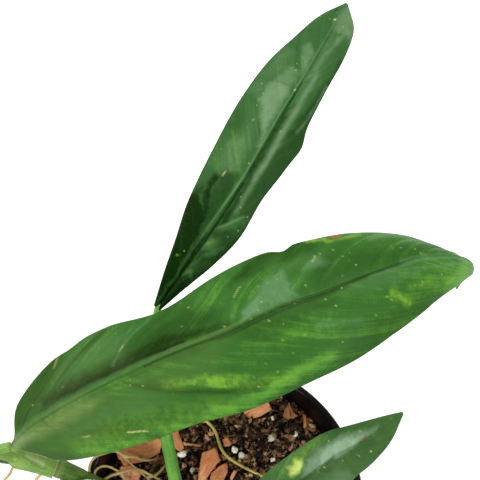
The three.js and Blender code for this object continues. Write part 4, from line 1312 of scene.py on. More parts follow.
SMALL_MARKS = (
    # painted sheen: the pale gloss on the left half
    *patches(
        SHEEN,
        (0.5, 3.5, (38, 0), (41, -25), (46, -42), (53, -55), (60, -50), (72, -62), (80, -50), (87, -30),
         (87, 0)),
        (0.95, 3.0, (48, 0), (52, -35), (58, -42), (72, -48), (79, -36), (83, 0)),
        (0.2, 5.0, (40, 50), (46, 45), (62, 60), (64, 110), (40, 110)),
    ),
    # painted shade on the half and the margin turned from the light
    *patches(
        DARK,
        (0.4, 3.0, (30, 3), (62, 3), (60, 30), (45, 35)),
        (0.25, 3.0, (62, 3), (85, 3), (85, 45), (62, 40)),
        (0.25, 3.0, (66, -70), (75, -75), (80, -70), (78, -110), (66, -110)),
    ),
    # painted shade along the midrib's groove; the short stroke darkens a brown spot
    *strokes(
        DARK,
        (0.5, 0.5, 1.0, (30, 3), (50, 3), (84, 3)),
        (0.8, 1.3, 0.8, (79.8, -5), (80.6, -2)),
    ),
    # lighter green, partly the leaf's own and partly painted light on the left half and the tip
    *patches(
        LIGHT,
        (0.25, 4.0, (90, -110), (105, -110), (105, 110), (92, 110)),
        (0.4, 4.5, (30, -40), (44, -50), (53, -65), (62, -75), (60, -110), (30, -110)),
    ),
    *strokes(
        YELLOW,
        (0.25, 1.4, 3.6, (43, -72), (48, -75), (56, -82)),
    ),
    *patches(
        YELLOW,
        (1.1, 3.0, (34, -34), (38, -28), (42, -40), (44.5, -62), (41, -76), (35.5, -66)),
    ),
    *patches(
        CREAM,
        (0.5, 4.0, (35, -40), (38, -34), (41, -44), (43, -60), (40, -70), (36, -62)),
    ),
    *strokes(
        BROWN,
        (0.2, 1.6, 2.4, (38.4, -52), (39.4, -54)),
        (0.35, 1.3, 0.8, (79.8, -5), (80.6, -2)),
    ),
    *flecks(CREAM, 0.7, 0.5, (80.6, 57), (51, 13)),
    *flecks(CREAM, 0.35, 0.6, (80.5, -50), (63, 28), (74, 45)),
)


# Stalks


@dataclass
class Stalk:
    """A round stalk swept along a path, with fine ribs, and a channel where it is a petiole."""

    name: str
    finish: StalkFinish
    path: tuple[Point, ...]
    radii: tuple[float, ...]
    steps: int
    sides: int = 36
    channel: float = 0.0
    rings: tuple[float, ...] = ()
    ring_swell: float = 0.5
    ring_length: float = 0.012
    base_swell: float = 0.0
    scar_depth: float = 0.22
    rib_height: float = 0.05
    unevenness: float = 0.09
    start_side: Point = (1.0, 0.0, 0.0)
    # which way the stalk's painted shade faces: the side turned from the light
    painted_shade_side: Point = (0.0, 0.0, 0.0)
    stands_for: tuple[str, ...] = ()

    def ringed(self, u: np.ndarray, shift: float, share: float) -> np.ndarray:
        """A bump at each joint, moved and narrowed by shares of the joint's length."""
        length = self.ring_length
        bumps = (bell(u, place + shift * length, share * length) for place in self.rings)
        return sum(bumps, np.zeros_like(u))

    def mesh(self) -> tuple[np.ndarray, list, dict[str, np.ndarray]]:
        """Points, faces and attributes of the stalk."""
        centres = spread(self.path, even_places(self.path, self.steps))
        along = unit(np.gradient(centres, axis=0))
        sides = carried(along, np.array(self.start_side))
        ups = np.cross(sides, along)
        u = np.linspace(0.0, 1.0, self.steps + 1)
        angle = -2 * np.pi * np.arange(self.sides) / self.sides
        radius = spread(self.radii, u) * (1 + self.base_swell * (1 - u) ** 6)
        ring = self.ringed(u, 0.0, 1.0)
        scar = self.ringed(u, 0.3, 0.35)
        radius = radius + self.ring_swell * ring - self.scar_depth * scar
        section = 1 - self.channel * np.maximum(np.cos(angle), 0.0) ** 4
        reach = radius[:, None] * section[None, :]
        reach = reach + self.rib_height * np.sin(9 * angle[None, :] + 2.0 * np.sin(5 * u)[:, None])
        spokes = sides[:, None] * np.cos(angle)[None, :, None] + ups[:, None] * np.sin(angle)[None, :, None]
        points = (centres[:, None] + spokes * reach[:, :, None]).reshape(-1, 3)
        outward = unit(points - np.repeat(centres, self.sides, axis=0))
        points = points + outward * (self.unevenness * lumps(points, 3.0, 3, len(self.name)))[:, None]
        length = np.linalg.norm(np.diff(centres, axis=0), axis=1).sum()
        flow = np.stack([
            np.repeat(u * length, self.sides),
            np.tile(np.cos(angle), self.steps + 1) * self.radii[0],
            np.tile(np.sin(angle), self.steps + 1) * self.radii[0],
        ], axis=-1) * MM
        values = {
            "edge": np.repeat(0.35 * ring, self.sides),
            "scar": np.repeat(0.35 * np.minimum(scar, 1.0), self.sides),
            # painted shade on the stalk's side turned from the light
            "shade": np.maximum(spokes @ np.array(self.painted_shade_side), 0.0).ravel(),
        }
        values = {key: np.append(column, [0.0, 0.0]) for key, column in values.items()}
        values["flow"] = np.concatenate([flow, flow[:1], flow[-1:]])
        points = np.concatenate([points, centres[:1], centres[-1:]])
        return points, loop_faces(self.steps + 1, self.sides), values

    def build(self) -> None:
        """Makes the stalk and puts it in the frame."""
        points, faces, values = self.mesh()
        piece = make_piece(self.name, points, faces, self.finish.material(), values)
        settle(piece, self.finish.name, *self.stands_for)


@dataclass
class Sheath:
    """A thin leaf sheath wrapped part of the way round the stem, with dry torn margins.

    It runs from start to end along the stem, at a gap from it. Back and front are the angles of its two
    margins in degrees, from straight up. Dark is the painted shade at each end, negative where light is
    painted on instead, and the streak runs from one place to the other, each a share of the length and of
    the way round.
    """

    name: str
    start: float
    end: float
    gap: float
    wall: float
    back: tuple[float, ...]
    front: tuple[float, ...]
    flare: float
    stem: Stalk
    stands_for: tuple[str, ...]
    dark: Place
    streak: tuple[Place, Place]
    bulge: float = 0.0
    rows: int = 110
    columns: int = 90
    tear: float = 0.9
    fray: float = 7.0
    pleat: float = 0.07
    streak_width: float = 0.045
    flow_size: Place = (40.0, 18.0)
    finish: StalkFinish = SHEATH_GREEN

    def build(self) -> None:
        """Makes the sheath and puts it in the frame."""
        share = np.linspace(0.0, 1.0, self.rows + 1)
        j = np.linspace(0.0, 1.0, self.columns + 1)
        u = self.start + (self.end - self.start) * share
        places = np.interp(u, np.linspace(0, 1, 401), even_places(self.stem.path, 400))
        step = 0.002
        centre = spread(self.stem.path, places)
        along = unit(spread(self.stem.path, places + step) - spread(self.stem.path, places - step))
        up = unit(UP - along[:, 2:] * along)
        front = np.cross(up, along)
        fray = self.fray * lumps(np.stack([share * 60, share * 0, share * 0], axis=-1), 5.0, 4, 1.0)
        back_angle = spread(self.back, share) + fray
        front_angle = spread(self.front, share) + fray[::-1]
        angle = np.radians(back_angle[:, None] + (front_angle - back_angle)[:, None] * j)
        middle = np.abs(j - 0.5) * 2
        ring = self.stem.ring_swell * self.stem.ringed(u, 0.0, 1.0)
        radius = spread(self.stem.radii, u) + ring + self.gap
        radius = radius[:, None] + self.flare * share[:, None] * middle**2
        radius = radius + self.bulge * (1 - share)[:, None] * np.maximum(np.cos(angle + 0.3), 0.0)
        tear = lumps(np.stack([j * 50, j * 0, j * 0], axis=-1), 4.0, 4, 2.0)
        shift = (self.tear * share**8 - 0.12 * (1 - share) ** 8)[:, None] * tear
        spoke = up[:, None] * np.cos(angle)[:, :, None] + front[:, None] * np.sin(angle)[:, :, None]
        wall = self.wall * (0.35 + 0.65 * np.sqrt(np.clip(1.0 - middle**6, 0, 1)))
        pleat = self.pleat * np.sin(j * 70 + 0.6 * np.sin(share * 5)[:, None])
        base = centre[:, None] + along[:, None] * shift[:, :, None]
        outside = base + spoke * (radius + wall + pleat)[:, :, None]
        inside = base + spoke * (radius + 0.5 * pleat)[:, :, None]
        points = np.concatenate([outside.reshape(-1, 3), inside.reshape(-1, 3)])
        faces = sheet_faces(self.rows + 1, self.columns + 1)
        length, width = self.flow_size
        flow = np.stack(np.broadcast_arrays(share[:, None] * length, j * width, 0.0), -1) * MM
        rim = np.maximum(smooth((middle - 0.8) / 0.16)[None, :], smooth((share - 0.95) / 0.05)[:, None])
        rim = np.maximum(rim, 0.8 * smooth((0.012 - share) / 0.012)[:, None]) * np.ones_like(radius)
        (first, low), (last, high) = self.streak
        course = np.clip((share - first) / (last - first), 0, 1)
        off = np.abs(share - first - course * (last - first))[:, None] * 1.5
        off = off + np.abs(j[None, :] - (low + course * (high - low))[:, None])
        rim = np.maximum(rim, 0.4 * bell(off, 0.0, self.streak_width))
        # painted shade along the sheath from one end to the other; negative values paint light
        shade = (self.dark[0] + (self.dark[1] - self.dark[0]) * share)[:, None] * np.ones_like(radius)
        values = {"edge": rim.ravel(), "scar": 0.3 * smooth((rim.ravel() - 0.9) / 0.1),
                  "shade": shade.ravel(), "flow": flow.reshape(-1, 3)}
        values = {key: np.concatenate([column] * 2) for key, column in values.items()}
        piece = make_piece(self.name, points, faces, self.finish.material(), values)
        settle(piece, self.finish.name, *self.stands_for)


STEM = Stalk(
    name="stem_skin", finish=STEM_GREEN, stands_for=("stem",),
    path=((4, -18, 76), (-4, -13.5, 81.5), (-14, -8, 86.5), (-26, -4, 91), (-40, 0.5, 97),
          (-56, 8.6, 105), (-68, 14.6, 109.6), (-83, 18.8, 112.6), (-98, 21.2, 113.6), (-112, 23, 114)),
    radii=(4.2, 3.3), steps=340, sides=48, rings=(0.12, 0.3, 0.5, 0.66, 0.87), painted_shade_side=(0.3, -0.7, 0.1),
)
PETIOLE_A = Stalk(
    name="upper_petiole", finish=PETIOLE_GREEN, stands_for=("leaf_a_petiole",),
    path=((-14, -9, 86), (-16.5, -3, 89), (-19.2, 3, 93.5), (-20.8, 9.8, 100), (-22.3, 20, 110),
          (-23.8, 29, 117), (-27, 45, 124), (-28.7, 61, 129), (-27, 76.5, 133), (-25.6, 79.8, 133.7)),
    radii=(2.6, 2.6, 2.6, 2.4, 1.3), steps=260, channel=0.14, base_swell=0.45, start_side=(0.2, 1.0, -0.6),
    painted_shade_side=(0.5, 0.0, 0.0),
)
PETIOLE_B = Stalk(
    name="broad_petiole", finish=SHEATH_GREEN,
    path=((-85, 19.2, 115), (-88.4, 20, 117.4), (-90.8, 20.8, 119.4),
          (-91.2, 21.6, 121.2), (-89.4, 22.5, 122.6), (-85.6, 23.4, 123.2)),
    radii=(2.0, 2.0), steps=110, channel=0.1, base_swell=0.45,
)
PETIOLE_C = Stalk(
    name="small_petiole", finish=PETIOLE_GREEN, stands_for=("leaf_c_petiole",),
    path=((-3, -14, 84), (-6, -16, 93), (-6, -15, 102), (-3, -11, 109), (1, -7, 111.8)),
    radii=(1.8, 1.8, 1.7), steps=140, channel=0.14, base_swell=0.45,
)
TIP = Stalk(
    name="young_sheath", finish=SHEATH_GREEN, stands_for=("growing_tip",),
    path=((-111.6, 24.0, 114), (-120, 25.5, 115), (-128, 27, 117.5), (-136, 28.5, 122)),
    radii=(3, 3.4, 3, 2, 0.4), steps=110, channel=0.1, rib_height=0.08,
)


@dataclass
class AerialRoots:
    """Aerial roots grown out of the stem's joints, each list of paths one piece."""

    name: str
    finish: RootFinish
    stands_for: str
    paths: tuple[tuple[float, tuple[Point, ...]], ...]
    taper: float = 0.35
    sides: int = 10
    wobble: float = 0.22
    cork: float = 0.06
    step: float = 0.6

    def strands(self) -> Object:
        """The roots' middle lines, with their radii, as a mesh of edges."""
        points: list[np.ndarray] = []
        radii: list[np.ndarray] = []
        edges: list[tuple[int, int]] = []
        for radius, path in self.paths:
            start = np.array(path[0]) - 0.35 * (np.array(path[1]) - np.array(path[0]))
            held = (tuple(start), *path)
            length = np.linalg.norm(np.diff(np.array(held), axis=0), axis=1).sum()
            steps = max(int(length / self.step), 8)
            u = np.linspace(0.0, 1.0, steps + 1)
            line = spread(held, even_places(held, steps))
            first = sum(len(part) for part in points)
            sway = np.stack([lumps(line, 6.0, 3, seed + radius * 10) for seed in (1, 2, 3)], axis=-1)
            points.append(line + sway * self.wobble * np.sin(np.pi * u)[:, None] ** 0.5)
            radii.append(radius * (1 - self.taper * u**4) * (1 + 0.1 * lumps(line, 1.6, 2, radius)))
            edges += [(first + i, first + i + 1) for i in range(steps)]
        mesh = bpy.data.meshes.new(self.name)
        mesh.from_pydata((np.concatenate(points) * MM).tolist(), edges, [])
        keep(mesh, "radius_here", np.concatenate(radii) * MM)
        return linked(self.name, mesh)

    def build(self) -> None:
        """Sweeps the roots along their middle lines and puts them in the frame."""
        g = Grower(f"{self.name}_sweep")
        sides = g.number("Sides", self.sides, "NodeSocketInt")
        cork = g.number("Cork Height", self.cork * MM)
        lines = g.node("GeometryNodeMeshToCurve", {0: g.start.outputs[0]})
        length = g.node("GeometryNodeSplineParameter", {}, out="Length")
        lines = g.held(lines, "flow", g.node("ShaderNodeCombineXYZ", {0: length}), "FLOAT_VECTOR")
        radius = g.node("GeometryNodeInputNamedAttribute", {"Name": "radius_here"})
        circle = g.node("GeometryNodeCurvePrimitiveCircle", {"Resolution": sides, "Radius": 1.0})
        tube = g.node("GeometryNodeCurveToMesh", {0: lines, 1: circle, "Scale": radius, "Fill Caps": True})
        rough = g.sum("MULTIPLY", g.sum("SUBTRACT", g.noise(1300.0, "Fac"), 0.5), cork)
        out = g.times(g.node("GeometryNodeInputNormal", {}), g.sum("MULTIPLY", rough, 4.0))
        tube = g.node("GeometryNodeSetPosition", {0: tube, "Offset": out})
        tube = g.node("GeometryNodeSetShadeSmooth", {0: tube})
        g.finish(tube, self.finish.material())
        settle(g.run(self.strands()), self.finish.name, self.stands_for)


ROOTS = (
    AerialRoots("outer_root_1", TAN_ROOT, "root_outer_1", (
        (0.6, ((-86.5, 17.6, 111), (-90.8, 12.5, 104), (-95.5, 9.2, 96), (-99.5, 5, 84), (-98, 1, 74))),)),
    AerialRoots("outer_root_2", TAN_ROOT, "root_outer_2", (
        (0.75, ((-75.1, 15.2, 109), (-78.3, 12, 102), (-82.3, 8.9, 94), (-84, 4.4, 82))),)),
    AerialRoots("outer_root_3", TAN_ROOT, "root_outer_3", (
        (0.85, ((-70.4, 14.5, 107), (-70, 11.7, 101), (-69.2, 8.8, 93), (-69, 3.9, 80),
                (-70, -0.7, 70))),)),
    AerialRoots("left_roots", TAN_ROOT, "roots_left", (
        (0.5, ((-56.7, 11.4, 104), (-56.7, 15.5, 106), (-54.6, 19, 106), (-50.6, 20.8, 101),
               (-47.1, 21, 94), (-43.9, 17.8, 90.5), (-40, 14.1, 88.5), (-34.8, 9.8, 86.2),
               (-30.4, 5.6, 80))),
        (0.5, ((-54.5, 10.6, 104), (-54.8, 13.2, 102.5), (-53, 15, 100), (-49.9, 14.7, 96),
               (-46.7, 12.5, 91), (-44.5, 9.2, 87), (-42.7, 5.2, 80))),
        (0.65, ((-54.1, 7.2, 101), (-51.5, 9.7, 97.5), (-48.7, 11.4, 94), (-43.3, 12.9, 90),
                (-38.3, 13.3, 88), (-33.9, 11.4, 87), (-29, 8.9, 86), (-24, 5.6, 80))),
        (0.6, ((-47.1, 21, 94), (-44.4, 19.1, 91), (-40.2, 18.5, 88.5), (-35.9, 17.3, 87),
               (-30, 17.9, 80))),
        (0.6, ((-33.8, 10.2, 87), (-30.8, 11, 86.4), (-27.8, 14, 85.6), (-26.8, 15.9, 79))))),
    AerialRoots("middle_root", OLIVE_ROOT, "root_middle", (
        (0.7, ((-14, 35, 79), (-10.5, 34.3, 85.4), (-8.1, 34, 86.6), (-5.3, 31.3, 86.6),
               (-3.4, 27.4, 86.4), (-1.4, 22, 86.4), (1.6, 18.7, 86.4), (5.6, 16.1, 86.2),
               (11.5, 13.1, 85.8), (16.5, 10.7, 85.4), (21, 7.7, 79))),)),
)


# Potting mix, bark and perlite


@dataclass
class PottingMix:
    """The mix in the pot: a dark uneven bed under lumps, crumbs, grit and fibres."""

    edge_height: float = 80.0
    middle_height: float = 84.5
    lump: float = 0.8
    wall_radius: float = 53.4
    bottom_radius: float = 41.2
    bottom: float = 4.6
    rings: int = 110
    spokes: int = 300
    sink: float = 0.7
    roughness: float = 0.75
    dent: float = 3.0
    crumb_shapes: tuple[Point, Point] = ((0.7, 0.4, 0.3), (1.9, 1.0, 0.8))
    fibre_rise: float = 0.9
    bend: float = 1.6

    def height(self, x: np.ndarray, y: np.ndarray) -> np.ndarray:
        """Height of the mound, as its solid has it."""
        share = np.minimum(np.hypot(x, y) / (self.wall_radius + 0.3), 1.0)
        mound = self.edge_height + (self.middle_height - self.edge_height) * (1 - share**2)
        coarse = np.sin(0.31 * x + 1.3) * np.cos(0.27 * y - 0.4)
        fine = np.sin(0.62 * x - 0.35 * y) * np.cos(0.71 * y + 0.3 * x + 2)
        return mound + self.lump * (coarse + fine) * (1 - share**6)

    def bed(self, trees: list[BVHTree]) -> Object:
        """The uneven bed with its hidden side and bottom, and a share of free room on it.

        Args:
            trees: search trees of everything that lies or stands in the mix.

        Returns:
            The bed, with room 0 wherever something covers it.
        """
        angle = 2 * np.pi * np.arange(self.spokes) / self.spokes
        radius = self.wall_radius * np.sqrt(np.linspace(1.0, 0.0, self.rings + 1)[:-1])
        x = (radius[:, None] * np.cos(angle)).ravel()
        y = (radius[:, None] * np.sin(angle)).ravel()
        flat = np.stack([x, y, np.zeros_like(x)], axis=-1)
        rough = self.roughness * lumps(flat, 3.4, 5, 3.0) + 0.35 * lumps(flat, 0.9, 2, 5.0)
        z = self.height(x, y) - self.sink + rough
        top = np.stack([x, y, z], axis=-1)
        low_radius = np.array([self.bottom_radius, self.wall_radius - 0.4])
        low_z = np.array([self.bottom, self.edge_height - 2.5])
        rings = [np.stack([r * np.cos(angle), r * np.sin(angle), np.full(self.spokes, h)], -1)
                 for r, h in zip(low_radius, low_z)]
        peak = self.height(np.zeros(1), np.zeros(1))[0] - 0.6
        middle = np.array([[0.0, 0.0, self.bottom], [0.0, 0.0, peak]])
        points = np.concatenate([*rings, top, middle])
        faces = [face[::-1] for face in loop_faces(self.rings + 2, self.spokes)]
        room = np.ones(len(points))
        for i, point in enumerate(points):
            start = Vector(point * MM) + Vector((0, 0, 12 * MM))
            hits = (tree.ray_cast(start, Vector((0, 0, -1)), 14 * MM)[0] for tree in trees)
            if i < 2 * self.spokes or any(hit is not None for hit in hits):
                room[i] = 0.0
        room[-2:] = 0.0
        shade = np.clip(0.35 + 0.5 * lumps(points, 6.0, 3, 9.0), 0, 1)
        return make_piece("mix_bed", points, faces, MIX_BROWN.material(), {"room": room, "shade": shade})

    def scattered(self, g: Grower, count: float, rise: float, seed: int) -> NodeSocket:
        """Points scattered where the bed has room.

        Args:
            g: the tree that they are scattered in.
            count: points for each square metre of bed.
            rise: how far each stands over the bed, in millimetres.
            seed: picks their places.

        Returns:
            The points.
        """
        density = g.number("Density", count)
        lift = g.node("ShaderNodeCombineXYZ", {2: g.number("Rise", rise * MM)})
        room = g.node("GeometryNodeInputNamedAttribute", {"Name": "room"})
        points = g.node("GeometryNodeDistributePointsOnFaces", {
            0: g.start.outputs[0], "Density": g.sum("MULTIPLY", room, density), "Seed": seed})
        return g.node("GeometryNodeSetPosition", {0: points, "Offset": lift})

    def placed(self, g: Grower, points: object, shape: object, turn: object, size: object,
               seed: int) -> NodeSocket:
        """Copies of a shape on the points, each with a random shade of its own.

        Args:
            g: the tree that they are placed in.
            points: the points.
            shape: what is copied.
            turn: how each copy is turned, as three angles.
            size: how each copy is stretched.
            seed: picks the shades.

        Returns:
            The copies.
        """
        turned = g.node("FunctionNodeEulerToRotation", {0: turn})
        copies = g.node("GeometryNodeInstanceOnPoints", {
            0: points, "Instance": shape, "Rotation": turned, "Scale": size})
        return g.held(copies, "shade", g.draw(0.0, 1.0, seed), "FLOAT", "INSTANCE")

    def crumbs(self, bed: Object, name: str, count: float, size: Place, rise: float,
               subdivisions: int, seed: int) -> None:
        """Lumpy crumbs scattered on the bed.

        Args:
            bed: the bed that they lie on.
            name: the piece's name.
            count: crumbs for each square metre of bed.
            size: least and greatest radius in millimetres.
            rise: how far each stands over the bed, in millimetres.
            subdivisions: how finely each crumb is cut.
            seed: picks their places and shapes.
        """
        g = Grower(f"{name}_scatter")
        points = self.scattered(g, count, rise, seed)
        least = g.number("Least Radius", size[0] * MM)
        most = g.number("Greatest Radius", size[1] * MM)
        ball = g.node("GeometryNodeMeshIcoSphere", {"Radius": 1.0, "Subdivisions": subdivisions})
        dent = g.sum("SUBTRACT", g.noise(0.9 + 0.1 * seed, "Fac"), 0.5)
        dent = g.sum("MULTIPLY", dent, self.dent)
        ball = g.node("GeometryNodeSetPosition", {0: ball, "Offset": g.times(g.here(), dent)})
        shape = g.times(g.draw(*self.crumb_shapes, seed + 1), g.draw(least, most, seed))
        turn = g.draw((0.0, 0.0, 0.0), (6.28, 6.28, 6.28), seed + 2)
        g.finish(self.placed(g, points, ball, turn, shape, seed + 3), CRUMB_BROWN.material())
        settle(g.run(self.copy_of(bed, name)), MIX_BROWN.name)

    def fibres(self, bed: Object, name: str, count: float, length: Place, radius: float,
               seed: int) -> None:
        """Thin bent fibres lying on the bed.

        Args:
            bed: the bed that they lie on.
            name: the piece's name.
            count: fibres for each square metre of bed.
            length: least and greatest length in millimetres.
            radius: radius in millimetres.
            seed: picks their places and bends.
        """
        g = Grower(f"{name}_scatter")
        points = self.scattered(g, count, self.fibre_rise, seed)
        thick = g.number("Radius", radius * MM)
        bend = g.number("Bend", self.bend * MM)
        line = g.node("GeometryNodeCurvePrimitiveLine", {"Start": (-0.5, 0.0, 0.0), "End": (0.5, 0.0, 0.0)})
        line = g.node("GeometryNodeResampleCurve", {0: line, "Count": 7})
        turn = g.draw((-0.25, -0.25, 0.0), (0.25, 0.25, 6.28), seed)
        size = g.draw(length[0] * MM, length[1] * MM, seed + 1)
        size = g.node("ShaderNodeCombineXYZ", {0: size, 1: size, 2: size})
        curves = g.node("GeometryNodeRealizeInstances", {
            0: self.placed(g, points, line, turn, size, seed + 3)})
        sway = g.noise(260.0, "Color")
        for step, amount in (("SUBTRACT", (0.5, 0.5, 0.5)), ("MULTIPLY", (2.0, 2.0, 0.8))):
            sway = g.node("ShaderNodeVectorMath", {0: sway, 1: amount}, {"operation": step})
        curves = g.node("GeometryNodeSetPosition", {0: curves, "Offset": g.times(sway, bend)})
        circle = g.node("GeometryNodeCurvePrimitiveCircle", {"Resolution": 4, "Radius": thick})
        tube = g.node("GeometryNodeCurveToMesh", {0: curves, 1: circle, "Fill Caps": True})
        g.finish(tube, FIBRE_BROWN.material())
        settle(g.run(self.copy_of(bed, name)), MIX_BROWN.name)

    def copy_of(self, bed: Object, name: str) -> Object:
        """A copy of the bed that a scatter starts from."""
        mesh = bed.data.copy()
        mesh.name = name
        return linked(name, mesh)

    def build(self) -> None:
        """Makes the bed and everything loose on it."""
        lying = [node for key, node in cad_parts.items() if key.startswith(("bark_chip", "perlite"))]
        bed = self.bed([solid_tree(node) for node in lying])
        self.crumbs(bed, "mix_lumps", 1.45e5, (1.0, 2.1), 0.45, 2, 11)
        self.crumbs(bed, "mix_crumbs", 2.45e5, (0.55, 1.15), 0.5, 2, 23)
        self.crumbs(bed, "mix_grit", 9.0e5, (0.2, 0.42), 0.6, 1, 37)
        self.fibres(bed, "mix_fibres", 1.1e5, (3.0, 9.0), 0.09, 51)
        settle(bed, MIX_BROWN.name, "potting_mix")


def numbered(prefix: str) -> list[tuple[int, Object]]:
    """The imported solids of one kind, counted from 1 in the order of their numbers."""
    keys = [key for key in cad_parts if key.startswith(prefix)]
    keys.sort(key=lambda key: int(key.split("_")[-1]))
    return [(number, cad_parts[key]) for number, key in enumerate(keys, 1)]


@dataclass
class BarkChips:
    """Flakes of bark half sunk in the mix, each refined from its own solid."""

    voxel: float = 0.33
    depth: float = 0.28

    def refine(self, node: Object, number: int) -> None:
        """Gives one flake its grain and worn edges.

        Args:
            node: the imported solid.
            number: which flake it is.
        """
        piece = linked(f"bark_flake_{number}", node.data.copy())
        piece.data.materials.clear()
        remesh = piece.modifiers.new("fine", "REMESH")
        remesh.mode = "VOXEL"
        remesh.voxel_size = self.voxel * MM
        applied(piece)
        mesh = piece.data
        points = rows_of(mesh, "co").astype(float) / MM
        local = points - points.mean(0)
        axes = np.linalg.svd(local, full_matrices=False)[2]
        grain = local @ axes.T
        stretched = grain * np.array([0.16, 1.0, 1.0]) + number * 13.0
        ridges = lumps(stretched, 1.1, 4, 1.0) + 0.7 * lumps(grain + number * 5.0, 3.2, 3, 2.0)
        move_points(mesh, points + rows_of(mesh, "normal") * (self.depth * ridges - 0.05)[:, None])
        keep(mesh, "grain", (grain + number * 21.0) * MM)
        keep(mesh, "shade", np.full(len(points), 0.1 + 0.6 * ((number * 0.37) % 1.0)))
        cover(mesh, BARK_RED.material())
        settle(piece, BARK_RED.name, node.name)

    def build(self) -> None:
        """Refines every flake in the frame."""
        for number, node in numbered("bark_chip"):
            self.refine(node, number)


@dataclass
class PerliteGrains:
    """Puffed white grains on the mix, each refined from its own solid."""

    levels: int = 3
    depth: float = 0.3
    weld: float = 0.01

    def refine(self, node: Object, number: int) -> None:
        """Gives one grain its pits and bumps.

        Args:
            node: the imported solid.
            number: which grain it is.
        """
        piece = linked(f"perlite_grain_{number}", node.data.copy())
        piece.data.materials.clear()
        work = bmesh.new()
        work.from_mesh(piece.data)
        bmesh.ops.remove_doubles(work, verts=work.verts, dist=self.weld * MM)
        work.to_mesh(piece.data)
        work.free()
        finer = piece.modifiers.new("finer", "SUBSURF")
        finer.subdivision_type = "SIMPLE"
        finer.levels = finer.render_levels = self.levels
        applied(piece)
        points = rows_of(piece.data, "co").astype(float) / MM
        outward = unit(points - points.mean(0))
        bumps = 1.3 * lumps(points, 1.7, 3, number * 0.7)
        bumps = bumps - 0.4 * np.abs(lumps(points, 0.45, 2, number * 0.3))
        move_points(piece.data, points + outward * (self.depth * bumps)[:, None])
        cover(piece.data, PERLITE_WHITE.material())
        settle(piece, PERLITE_WHITE.name, node.name)

    def build(self) -> None:
        """Refines every grain in the frame."""
        for number, node in numbered("perlite"):
            self.refine(node, number)


# Pot


